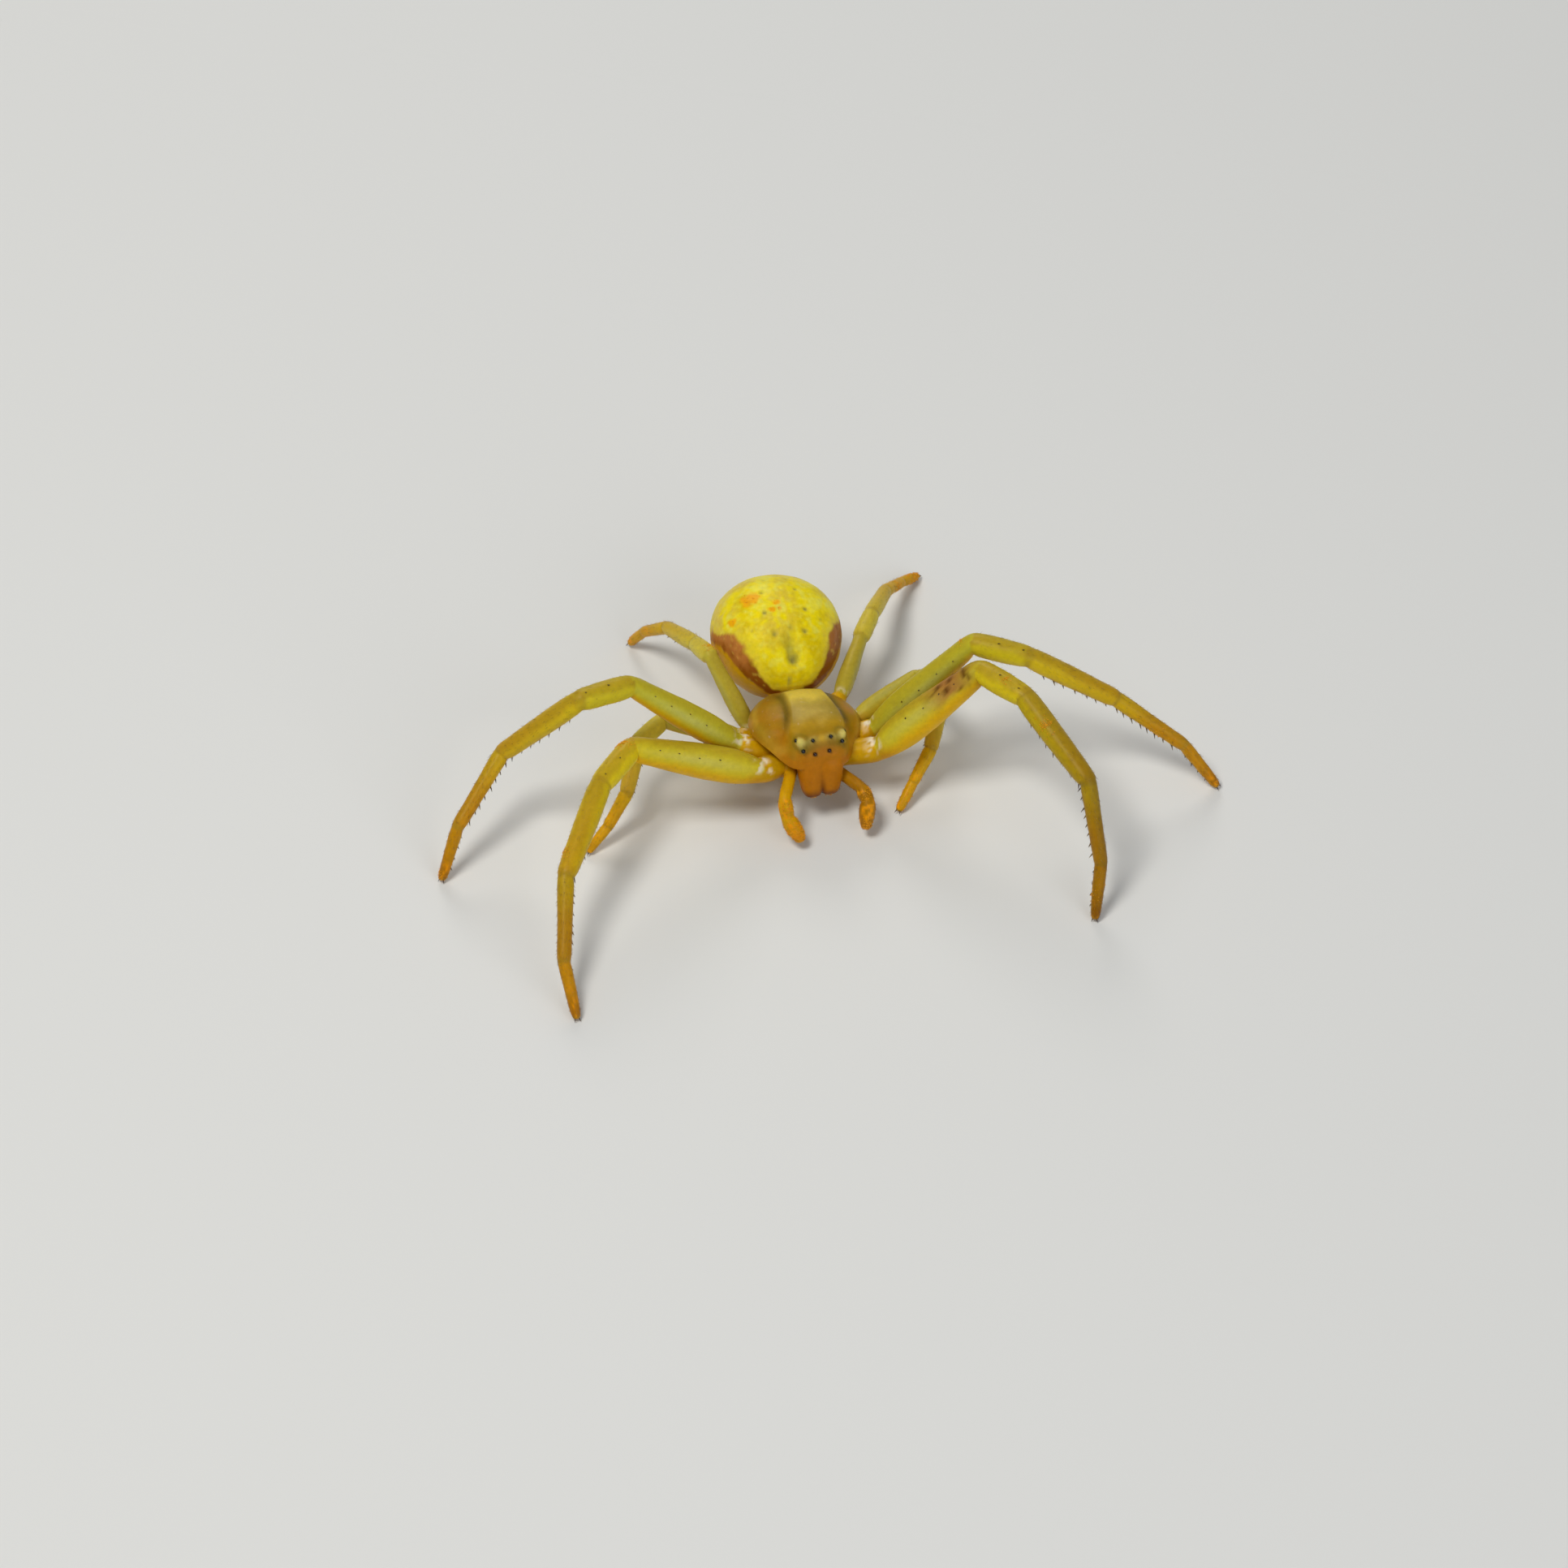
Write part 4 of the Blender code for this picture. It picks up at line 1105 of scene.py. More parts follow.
def soften_seams(thing):
    """Round the creases where skins met and carry their colours across."""
    bm = bmesh.new()
    bm.from_mesh(thing.data)
    layer = bm.verts.layers.float_color[TINT]
    fresh = [vert for vert in bm.verts if vert[layer][3] > FRESH]
    waiting = list(fresh)
    for _ in range(SEAM_ROUNDS):
        still = []
        for vert in waiting:
            beside = [edge.other_vert(vert)[layer] for edge in vert.link_edges]
            known = [value for value in beside if value[3] < FRESH]
            if known:
                total = Vector((0.0, 0.0, 0.0, 0.0))
                for value in known:
                    total += value
                vert[layer] = total / len(known)
            else:
                still.append(vert)
        waiting = still
    near = set(fresh)
    for _ in range(SEAM_ROWS):
        near |= {edge.other_vert(vert) for vert in near for edge in vert.link_edges}
    for _ in range(SEAM_SMOOTHINGS):
        bmesh.ops.smooth_vert(
            bm, verts=list(near), factor=0.5, use_axis_x=True, use_axis_y=True, use_axis_z=True,
        )
    bm.to_mesh(thing.data)
    bm.free()


def to_frame(thing):
    """Move a piece drawn in millimetres into the frame, in metres."""
    place = Matrix.Scale(MM, 4) @ Matrix.Translation((*BODY_OFFSET, 0.0))
    thing.data.transform(place)
    thing.data.shade_smooth()
    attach(thing, "root")
    return thing


def node(tree, kind, links=(), **settings):
    """Add a node, set its sockets and properties, and link sockets into it."""
    made = tree.nodes.new(kind)
    for name, value in settings.items():
        if name.startswith("in_"):
            made.inputs[name[3:].replace("_", " ")].default_value = value
        else:
            setattr(made, name, value)
    for source, target in links:
        tree.links.new(source, made.inputs[target])
    return made


def set_inputs(made, values):
    """Give a node's sockets the values listed by name or number."""
    for name, value in values.items():
        made.inputs[name].default_value = value


def new_material(name):
    """Material, its node tree and its main shader."""
    material = bpy.data.materials.new(name)
    material.use_nodes = True
    tree = material.node_tree
    return material, tree, tree.nodes["Principled BSDF"]


# Sizes of the cuticle's patterns, in millimetres: mottling in the flesh, flecks
# of brown pigment and the net of pores, which is drawn coarse enough to show
MOTTLE_SIZE = 0.12
FLECK_SPACING = 0.30
PORE_SIZE = 0.05


def cuticle_material():
    """Thin, soft arthropod cuticle: light sinks in a little and comes back warm,
    under a waxy satin surface with a fine net of pores."""
    material, tree, shader = new_material("spider cuticle")
    tint = node(tree, "ShaderNodeAttribute", attribute_name=TINT)
    place = node(tree, "ShaderNodeTexCoord").outputs["Object"]
    mottle = node(
        tree, "ShaderNodeTexNoise", ((place, "Vector"),),
        in_Scale=PER_METRE / MOTTLE_SIZE, in_Detail=4.0, in_Roughness=0.6,
    ).outputs["Fac"]
    level = node(
        tree, "ShaderNodeMapRange", ((mottle, "Value"),),
        in_From_Min=0.3, in_From_Max=0.7, in_To_Min=0.92, in_To_Max=1.07,
    )
    varied = node(
        tree, "ShaderNodeVectorMath", ((tint.outputs["Color"], 0), (level.outputs["Result"], 1)),
        operation="MULTIPLY",
    )
    # Pigment flecks in about half of the cells, faint and softly edged
    cells = node(
        tree, "ShaderNodeTexVoronoi", ((place, "Vector"),), in_Scale=PER_METRE / FLECK_SPACING,
    )
    dot = node(
        tree, "ShaderNodeMapRange", ((cells.outputs["Distance"], "Value"),),
        in_From_Min=0.11, in_From_Max=0.05,
    )
    chosen = node(
        tree, "ShaderNodeMath", ((cells.outputs["Color"], 0),), operation="GREATER_THAN",
    )
    set_inputs(chosen, {1: 0.45})
    fleck = node(
        tree, "ShaderNodeMath", ((dot.outputs["Result"], 0), (chosen.outputs["Value"], 1)),
        operation="MULTIPLY",
    )
    faint = node(tree, "ShaderNodeMath", ((fleck.outputs["Value"], 0),), operation="MULTIPLY")
    set_inputs(faint, {1: 0.12})
    brown = node(
        tree, "ShaderNodeMix", ((faint.outputs["Value"], "Factor"),), data_type="RGBA",
    )
    tree.links.new(varied.outputs["Vector"], brown.inputs["A"])
    set_inputs(brown, {"B": shades().stripe[:]})
    pores = node(
        tree, "ShaderNodeTexVoronoi", ((place, "Vector"),), in_Scale=PER_METRE / PORE_SIZE,
    )
    bump = node(
        tree, "ShaderNodeBump", ((pores.outputs["Distance"], "Height"),),
        in_Strength=0.25, in_Distance=0.004 * MM,
    )
    soft = node(
        tree, "ShaderNodeBump", ((mottle, "Height"), (bump.outputs["Normal"], "Normal")),
        in_Strength=0.35, in_Distance=0.008 * MM,
    )
    rough = node(
        tree, "ShaderNodeMapRange", ((mottle, "Value"),), in_To_Min=0.30, in_To_Max=0.50,
    )
    tree.links.new(brown.outputs["Result"], shader.inputs["Base Color"])
    tree.links.new(soft.outputs["Normal"], shader.inputs["Normal"])
    tree.links.new(rough.outputs["Result"], shader.inputs["Roughness"])
    set_inputs(shader, {
        "Subsurface Weight": 0.5,
        "Subsurface Radius": (1.0, 0.72, 0.20),
        "Subsurface Scale": 0.16 * MM,
        "IOR": 1.5,
        "Specular IOR Level": 0.22,
        "Specular Tint": (1.0, 0.86, 0.50, 1.0),
    })
    return material


def lens_material(name, pigment):
    """Clear, hard lens over dark pigment: near mirror-smooth."""
    material, _, shader = new_material(name)
    set_inputs(shader, {"Base Color": pigment, "Roughness": 0.05, "IOR": 1.52})
    return material


BRISTLE_NAME = "spider bristle"
# Size of the mottling along a bristle, in millimetres
BRISTLE_GRAIN = 0.05


def bristle_material():
    """Chitin bristle: dense, clear brown horny rods with a soft gleam, darker
    or paler as each one's own tint says. Made once for the whole coat."""
    made = bpy.data.materials.get(BRISTLE_NAME)
    if made:
        return made
    material, tree, shader = new_material(BRISTLE_NAME)
    tint = node(tree, "ShaderNodeAttribute", attribute_name=TINT)
    place = node(tree, "ShaderNodeTexCoord")
    mottle = node(
        tree, "ShaderNodeTexNoise", ((place.outputs["Object"], "Vector"),),
        in_Scale=PER_METRE / BRISTLE_GRAIN, in_Detail=2.0,
    )
    level = node(
        tree, "ShaderNodeMapRange", ((mottle.outputs["Fac"], "Value"),),
        in_To_Min=0.75, in_To_Max=1.25,
    )
    varied = node(
        tree, "ShaderNodeVectorMath", ((tint.outputs["Color"], 0), (level.outputs["Result"], 1)),
        operation="MULTIPLY",
    )
    tree.links.new(varied.outputs["Vector"], shader.inputs["Base Color"])
    set_inputs(shader, {"Roughness": 0.38, "IOR": 1.55})
    return material


# Size of the spikes on a grain, in millimetres
POLLEN_GRAIN = 0.03


def pollen_material():
    """Pollen: dry waxy grains whose tiny spikes scatter light, so matt and
    saturated, with deeper orange where clumps shade themselves."""
    material, tree, shader = new_material("pollen grains")
    place = node(tree, "ShaderNodeTexCoord")
    mottle = node(
        tree, "ShaderNodeTexNoise", ((place.outputs["Object"], "Vector"),),
        in_Scale=PER_METRE / POLLEN_GRAIN, in_Detail=3.0,
    ).outputs["Fac"]
    tone = node(tree, "ShaderNodeMix", ((mottle, "Factor"),), data_type="RGBA")
    grain = rgb("pollen")
    set_inputs(tone, {
        "A": (*(grain * 0.7), 1.0),
        "B": (*np.minimum(grain * 1.25, 1.0), 1.0),
    })
    spikes = node(
        tree, "ShaderNodeBump", ((mottle, "Height"),), in_Strength=0.6, in_Distance=0.003 * MM,
    )
    tree.links.new(tone.outputs["Result"], shader.inputs["Base Color"])
    tree.links.new(spikes.outputs["Normal"], shader.inputs["Normal"])
    set_inputs(shader, {"Roughness": 0.75})
    return material


# Shape of a bristle as (share of its length, share of its radius) before the
# point, and corners of its cross-section
HAIR_SHAPE = ((0.0, 1.0), (0.45, 0.72))
HAIR_SIDES = 3
SPINE_SHAPE = ((0.0, 1.0), (0.25, 0.95), (0.60, 0.62), (0.88, 0.28))
SPINE_SIDES = 6
# Share of the OFBake map that one bristle's patch takes each way
PATCH = 0.003


def bristles(name, roots, ways, bends, lengths, radii, colours, spots, shape, sides):
    """Join curved, tapering, closed bristles into one mesh. Each bristle's
    faces fill one small patch of the OFBake map at its root's spot."""
    ways = unit_rows(ways)
    across = unit_rows(np.cross(ways, ways[:, [1, 2, 0]] + 0.37))
    third = np.cross(ways, across)
    rings = []
    for share, size in shape:
        centre = roots + (ways * share + bends * share ** 2) * lengths[:, None]
        for number in range(sides):
            angle = 2 * math.pi * number / sides
            out = across * math.cos(angle) + third * math.sin(angle)
            rings.append(centre + out * (radii * size)[:, None])
    tip = roots + (ways + bends) * lengths[:, None]
    points = np.stack((*rings, tip), axis=1)
    per = points.shape[1]
    last = (len(shape) - 1) * sides
    faces = [tuple(range(sides))[::-1]]
    for level in range(len(shape) - 1):
        for number in range(sides):
            following = (number + 1) % sides
            low = level * sides
            high = low + sides
            faces.append((low + number, low + following, high + following, high + number))
    for number in range(sides):
        faces.append((last + number, last + (number + 1) % sides, per - 1))
    mesh = bpy.data.meshes.new(name)
    mesh.from_pydata(points.reshape(-1, 3).tolist(), [], [
        tuple(index + per * number for index in face)
        for number in range(len(roots))
        for face in faces
    ])
    thing = linked(name, mesh)
    heights = [share for share, _ in shape for _ in range(sides)] + [1.0]
    turns = [number / sides for _ in shape for number in range(sides)] + [0.5]
    corner = np.array([(turns[index], heights[index]) for face in faces for index in face]) - 0.5
    layer = mesh.uv_layers.new(name="OFBake")
    flat = (spots[:, None, :] + corner[None] * PATCH).reshape(-1)
    layer.data.foreach_set("uv", flat)
    # Painted shade: each bristle is darker towards its root
    light = np.interp(heights, (0.0, 0.15, 1.0), (0.55, 0.9, 1.0))
    shaded = colours[:, None, :] * light[None, :, None]
    paint(thing, shaded.reshape(-1, 3))
    return thing


SKIN_NAME = "spider_skin"


def skin_samples(generator, count, density):
    """Random places on the finished skin: point, outward direction and tint,
    picked by area times a density given for the places of all its faces."""
    skin = bpy.data.objects[SKIN_NAME]
    mesh = skin.data
    offset = np.array((*BODY_OFFSET, 0.0))
    points = points_of(skin) / MM - offset
    centres = gathered(mesh.polygons, "center", 3) / MM - offset
    normals = gathered(mesh.polygons, "normal", 3)
    first = gathered(mesh.polygons, "loop_start", kind=int)
    corners = gathered(mesh.loops, "vertex_index", kind=int)
    tints = gathered(mesh.attributes[TINT].data, "color", 4)[:, :3]
    weight = gathered(mesh.polygons, "area") * density(centres)
    chosen = generator.choice(len(weight), size=count, p=weight / weight.sum())
    mix = generator.dirichlet((1.0, 1.0, 1.0), size=count)
    vertices = corners[first[chosen][:, None] + np.arange(3)]
    places = np.einsum("ij,ijk->ik", mix, points[vertices])
    return places, normals[chosen], tints[vertices[:, 0]]


def limbs_of_animal():
    """Kind, leg pair, side and joints of each limb, in the order of the coat
    map's columns. A palp has pair 0."""
    limbs = [
        ("leg", pair, side, leg_joints(pair, side))
        for side in SIDES
        for pair in SEGMENT_LENGTHS
    ]
    limbs += [("palp", 0, side, palp_joints(side)) for side in SIDES]
    return limbs


# Columns of the coat's map: ten limbs, then the carapace and the abdomen
COLUMNS = 12
# Radius of the ball drawn round a body part, and for each part its kind
# (1 carapace, 2 abdomen), middle, the way its hairs lie, and how much shorter
# the ball is along each axis
BODY_REACH = 1.75
BODIES = (
    (1, (PROSOMA_SHIFT, 0.0, RIM_HEIGHT), (0.0, 1.0, 0.0), (1.1, 1.1, 1.7)),
    (2, ABDOMEN_CENTRE, (0.0, 1.0, -0.1), (1.0, 1.0, 1.25)),
)
# A point is on a body inside this share of the ball and this many limb radii
# clear of every limb
BODY_SHARE = 1.12
CLEAR_OF_LIMBS = 1.25


def map_place(column, across, along, height):
    """Place on the coat's map, by column, bearing round the piece and height."""
    angle = np.arctan2(across, along) / (2 * math.pi) + 0.5
    return np.stack(((column + 0.05 + 0.9 * angle) / COLUMNS, height * 0.98 + 0.01), axis=1)


def coat_places(points):
    """Place on an unwrap of the skin, direction that hairs lie in, segment and
    kind (0 limb, 1 carapace, 2 abdomen) for each point."""
    best = np.full(len(points), FAR)
    spots = np.zeros((len(points), 2))
    ways = np.zeros((len(points), 3))
    segments = np.zeros(len(points), int)
    kinds = np.zeros(len(points), int)
    for column, (kind, pair, _, joints) in enumerate(limbs_of_animal()):
        segment, share, top, lateral = along_limb(points, joints)
        line = np.array([tuple(joint) for joint in joints])
        ends = line[segment + 1] - line[segment]
        axis = line[segment] + ends * share[:, None]
        away = np.linalg.norm(points - axis, axis=1)
        radii = SEGMENT_RADII[pair] if pair else PALP_RADII
        away = away / np.array(radii)[segment]
        spot = map_place(column, lateral, top, (segment + share) / (len(joints) - 1))
        closer = away < best
        best = np.where(closer, away, best)
        spots = pick(closer, spot, spots)
        ways = pick(closer, unit_rows(ends), ways)
        # A palp's hairs are those of a leg from its tibia on
        segments = np.where(closer, segment if kind == "leg" else 3 + segment, segments)
    for kind, middle, lie, squeeze in BODIES:
        gap = (points - np.array(middle)) / BODY_REACH
        away = np.linalg.norm(gap * squeeze, axis=1)
        inside = (away < BODY_SHARE) & (best > CLEAR_OF_LIMBS)
        height = np.arccos(np.clip(unit_rows(gap)[:, 2], -1, 1)) / math.pi
        spot = map_place(9 + kind, gap[:, 0], gap[:, 1], height)
        spots = pick(inside, spot, spots)
        ways = pick(inside, np.array(lie), ways)
        kinds = np.where(inside, kind, kinds)
    return spots, ways, segments, kinds


FLESH_WORDS = ("cephalothorax", "abdomen", "spinnerets", "chelicera", "palp", "leg")


class SPIDER_OT_skin(Operator):
    """Build the one skin of body and limbs with its markings"""

    bl_idname = "crab_spider.skin"
    bl_label = "Body skin"

    def execute(self, context):
        skin = carapace_skin()
        pieces = [abdomen_skin(), *spinneret_skins(), *mouth_lobe_skins()]
        for side in SIDES:
            pieces += [chelicera_skin(side), palp_skin(side)]
            pieces += [leg_skin(pair, side) for pair in SEGMENT_LENGTHS]
            pieces += [hip_skin(pair, side) for pair in SEGMENT_LENGTHS]
        fuse(skin, pieces)
        soften_seams(skin)
        skin.name = skin.data.name = SKIN_NAME
        skin.data.materials.clear()
        skin.data.materials.append(cuticle_material())
        to_frame(skin)
        flesh = [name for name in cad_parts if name.startswith(FLESH_WORDS)]
        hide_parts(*flesh)
        return {"FINISHED"}


# Segments round and across a lens
LENS_GRID = (24, 16)


class SPIDER_OT_eyes(Operator):
    """Set eight polished lenses in the head"""

    bl_idname = "crab_spider.eyes"
    bl_label = "Eyes"

    def execute(self, context):
        black = lens_material("black eye lens", shades().lens[:])
        red = lens_material("red-brown eye lens", shades().red_eye[:])
        place = prosoma_place()
        for (kind, side), (centre, radius, *_) in eye_places().items():
            bm = bmesh.new()
            bmesh.ops.create_uvsphere(
                bm, u_segments=LENS_GRID[0], v_segments=LENS_GRID[1], radius=radius,
                matrix=place @ Matrix.Translation(centre),
            )
            lens = new_object("lens_%s_%s" % (kind, side), bm)
            lens.data.materials.append(red if kind == "anterior_median" else black)
            to_frame(lens)
            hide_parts("eye_%s_%s" % (kind, side))
        return {"FINISHED"}


# Hairs for each unit of skin on coxa, femur, patella, tibia, metatarsus and
# tarsus, and their lengths there
HAIR_DENSITY = np.array((0.3, 0.4, 0.8, 1.1, 1.8, 2.8))
HAIR_LENGTHS = np.array((0.6, 0.6, 0.85, 1.0, 0.95, 0.8))
# The body's coat: hairs for each unit of skin on limb, carapace and abdomen,
# and their length and thickness against the legs' hairs
BODY_DENSITY = np.array((0.0, 0.5, 0.8))
BODY_HAIR_LENGTH = 0.55
BODY_HAIR_THICKNESS = 0.7
HAIR_SEED = 7
# Faces and points lower than these grow no hair, and a hair whose tip would
# come lower than the third height is cut short
FACE_FLOOR = 0.02
HAIR_FLOOR = 0.03
TIP_FLOOR = 0.004
CUT_SHORT = 0.3


def lean(normals, ways, amount):
    """Directions that stand off the skin and lean along the limb."""
    flat = ways - normals * np.sum(ways * normals, axis=1)[:, None]
    return unit_rows(normals + unit_rows(flat) * amount)


def finish_coat(thing):
    thing.data.materials.append(bristle_material())
    to_frame(thing)


def limb_density(centres):
    """Hairs on the limbs, thicker towards the feet."""
    _, _, segments, kinds = coat_places(centres)
    return HAIR_DENSITY[segments] * (kinds == 0) * (centres[:, 2] > FACE_FLOOR)


def body_density(centres):
    """Hairs on the carapace and the abdomen."""
    return BODY_DENSITY[coat_places(centres)[3]]


class SPIDER_OT_hairs(Operator):
    """Grow fine hairs that lie along limbs and body, toned as the skin below"""

    bl_idname = "crab_spider.hairs"
    bl_label = "Fine hairs"

    def execute(self, context):
        generator = np.random.default_rng(HAIR_SEED)
        long_hair = sizes().hair_length / MM
        thick = sizes().hair_radius / MM
        coats = (
            ("leg_hairs", "leg_cuticle", sizes().leg_hairs, limb_density),
            ("body_hairs", "abdomen_cuticle", sizes().body_hairs, body_density),
        )
        for name, slot_name, count, density in coats:
            places, normals, tints = skin_samples(generator, count, density)
            spots, ways, segments, kinds = coat_places(places)
            on_limb = kinds == 0
            ways = lean(normals, ways, generator.uniform(0.7, 1.5, count)[:, None])
            ways = unit_rows(ways + generator.normal(0.0, 0.12, (count, 3)))
            bends = -normals * generator.uniform(0.05, 0.25, count)[:, None]
            lengths = long_hair * generator.uniform(0.45, 1.0, count)
            lengths *= np.where(on_limb, HAIR_LENGTHS[segments], BODY_HAIR_LENGTH)
            limb_dark = generator.uniform(0.1, 0.75, count)
            body_dark = generator.uniform(0.0, 0.2, count)
            dark = np.where(on_limb, limb_dark, body_dark)
            colours = blend(tints * 0.75, "dark_hair", dark)
            pale = generator.random(count) < np.where(on_limb, 0.40, 0.75)
            colours = pick(pale, blend(tints, "pale_hair", 0.6), colours)
            # The abdomen's hairs are so clear that its skin shows through them
            colours = pick(kinds == 2, tints, colours)
            tips = places + (ways + bends) * lengths[:, None]
            lengths = np.where(tips[:, 2] < TIP_FLOOR, lengths * CUT_SHORT, lengths)
            radii = np.where(on_limb, thick, thick * BODY_HAIR_THICKNESS)
            keep = places[:, 2] > HAIR_FLOOR
            rows = (places - normals * thick, ways, bends, lengths, radii, colours, spots)
            kept = [row[keep] for row in rows]
            finish_coat(bristles(name, *kept, HAIR_SHAPE, HAIR_SIDES))
        return {"FINISHED"}


# Spines of the front legs: segment, first and last share, how many in a row,
# how far to the side of the underside in degrees, and share of full length
SPINE_ROWS = (
    (3, 0.22, 0.95, 7, 32, 1.0), (3, 0.16, 0.90, 7, -32, 1.0),
    (4, 0.06, 0.86, 8, 35, 1.0), (4, 0.10, 0.90, 8, -35, 1.0),
    (5, 0.15, 0.75, 4, 30, 0.6), (5, 0.20, 0.80, 4, -30, 0.6),
    (1, 0.34, 0.82, 4, 125, 0.6), (2, 0.45, 0.90, 2, 170, 0.7),
)
# The same for the short legs behind
SHORT_SPINE_ROWS = ((3, 0.35, 0.90, 3, 30, 0.7), (4, 0.15, 0.85, 3, -30, 0.7))
SPINE_SEED = 11


def limb_surface(joints, radii, number, share, degrees):
    """Point on a leg and its outward and forward directions; 0 degrees is
    underneath, and positive ones turn to the leg's front."""
    shares, shape, flat = zip(*PROFILES[LEG_SEGMENTS[number]])
    start, end = joints[number], joints[number + 1]
    way = (end - start).normalized()
    up = backs(joints)[number]
    side = way.cross(up)
    turn = math.radians(degrees)
    out = side * math.sin(turn) - up * math.cos(turn)
    radius = radii[number] * float(np.interp(share, shares, shape))
    squeeze = float(np.interp(share, shares, flat))
    reach = radius * math.hypot(math.sin(turn) * squeeze, math.cos(turn))
    return start.lerp(end, share) + out * reach, out, way


class SPIDER_OT_spines(Operator):
    """Set the rows of short stout spines that grip prey"""

    bl_idname = "crab_spider.spines"
    bl_label = "Leg spines"

    def execute(self, context):
        chance = random.Random(SPINE_SEED)
        roots, ways, lengths, radii, colours = [], [], [], [], []
        full = sizes().spine_length / MM
        for side in SIDES:
            for pair, radii_here in SEGMENT_RADII.items():
                joints = leg_joints(pair, side)
                rows = SPINE_ROWS if pair < 3 else SHORT_SPINE_ROWS
                for number, first, final, count, degrees, size in rows:
                    for place in range(count):
                        share = first + (final - first) * place / max(count - 1, 1)
                        share += chance.uniform(-0.015, 0.015)
                        angle = side_sign(side) * degrees + chance.uniform(-8, 8)
                        root, out, way = limb_surface(joints, radii_here, number, share, angle)
                        spine = (out * 0.75 + way * chance.uniform(0.6, 0.9)).normalized()
                        reach = full * size * chance.uniform(0.75, 1.15)
                        if (root + spine * reach).z < 0.01:
                            continue
                        roots.append(root - out * 0.02)
                        ways.append(spine)
                        lengths.append(reach)
                        radii.append(sizes().spine_radius / MM * (0.6 + 0.4 * size))
                        tone = chance.uniform(0.05, 0.5)
                        colours.append(blend("dark_hair", "shin_top", tone))
        roots = np.array(roots)
        bends = np.tile((0.0, 0.0, -0.12), (len(roots), 1))
        spines = bristles(
            "leg_spines", roots, np.array(ways), bends, np.array(lengths), np.array(radii),
            np.array(colours), coat_places(roots)[0], SPINE_SHAPE, SPINE_SIDES,
        )
        finish_coat(spines)
        return {"FINISHED"}


# Steps along a hook and corners of its cross-section
HOOK_STEPS = 7
HOOK_SIDES = 8


def hook(name, root, way, down, reach, radius, curl):
    """A claw or fang: a tapering rod that bends evenly towards one side."""
    rings = []
    place = Vector(root)
    for number in range(HOOK_STEPS + 1):
        share = number / HOOK_STEPS
        turn = curl * share
        heading = (way * math.cos(turn) + down * math.sin(turn)).normalized()
        aside = UP.cross(heading) + Vector((0, 0, 0.01))
        rings.append(ring_matrix(place, heading, aside, radius * (1 - 0.88 * share ** 1.3)))
        place = place + heading * reach / HOOK_STEPS
    return limb(name, rings, HOOK_SIDES)


def join_solids(name, pieces):
    """Put closed pieces that don't touch into one object."""
    bm = bmesh.new()
    for piece in pieces:
        bm.from_mesh(piece.data)
        bpy.data.objects.remove(piece, do_unlink=True)
    return new_object(name, bm)


# Radius at the root and bend in radians of claws and fangs, half the gap
# between a foot's two claws, and length of a fang
CLAW_RADIUS = 0.019
CLAW_CURL = 1.5
CLAW_APART = 0.035
FANG_LENGTH = 0.34
FANG_RADIUS = 0.055
FANG_CURL = 1.2


class SPIDER_OT_claws(Operator):
    """Add two claws at each foot and the fangs"""

    bl_idname = "crab_spider.claws"
    bl_label = "Claws and fangs"

    def execute(self, context):
        reach = sizes().claw_length / MM
        claws = []
        for kind, _, _, joints in limbs_of_animal():
            if kind != "leg":
                continue
            way = (joints[-1] - joints[-2]).normalized()
            across = way.cross(UP).normalized()
            for sign in (-1, 1):
                heading = (way + across * 0.38 * sign + UP * 0.55).normalized()
                root = joints[-1] + across * CLAW_APART * sign + UP * 0.005
                down = (way * 0.3 - UP).normalized()
                claws.append(hook("claw", root, heading, down, reach, CLAW_RADIUS, CLAW_CURL))
        fangs = []
        for side in SIDES:
            sign = side_sign(side)
            x, y, z = CHELICERA_TIP
            root = Vector((x * sign + CHELICERA_SHIFT, y + 0.06, z + 0.10))
            heading = Vector((-0.30 * sign, 0.10, -1.0)).normalized()
            back = Vector((-0.5 * sign, 1.0, 0.0)).normalized()
            fangs.append(hook("fang", root, heading, back, FANG_LENGTH, FANG_RADIUS, FANG_CURL))
        horn = rgb("dark_hair") * 1.3 + rgb("jaw_tip") * 0.15
        hooks = (("claws", "leg_cuticle", claws), ("fangs", "mouthpart_cuticle", fangs))
        for name, slot_name, pieces in hooks:
            thing = join_solids(name, pieces)
            paint(thing, horn)
            finish_coat(thing)
        return {"FINISHED"}


# Pollen clumps on legs: pair, side, segment, share, degrees from underneath,
# spread in mm and number of grains
POLLEN_ON_LEGS = (
    (1, "right", 2, 0.10, 150, 0.16, 34), (1, "right", 2, 0.90, 60, 0.10, 14),
    (2, "right", 5, 0.95, 180, 0.14, 26), (1, "left", 3, 0.35, 150, 0.14, 34),
    (1, "left", 2, 0.60, 170, 0.10, 12), (2, "left", 1, 0.97, 180, 0.08, 8),
    (3, "left", 2, 0.40, 150, 0.18, 26), (4, "left", 5, 0.60, 150, 0.26, 70),
    (4, "left", 4, 0.50, 120, 0.14, 22), (4, "right", 2, 0.20, 150, 0.10, 14),
    (1, "right", 3, 0.80, 140, 0.12, 14), (4, "right", 5, 0.70, 150, 0.20, 22),
    (2, "left", 4, 0.60, 30, 0.20, 14), (1, "left", 5, 0.50, 30, 0.20, 14),
    (3, "left", 5, 0.50, 150, 0.2, 16),
)
# The same for palps: side, length of the palp, share, spread and grains
POLLEN_ON_PALPS = (
    ("right", 2, 0.45, 0.20, 90), ("right", 2, 0.90, 0.14, 60), ("right", 1, 0.50, 0.13, 30),
    ("left", 2, 0.85, 0.15, 34), ("left", 1, 0.30, 0.12, 14),
)
POLLEN_SEED = 5
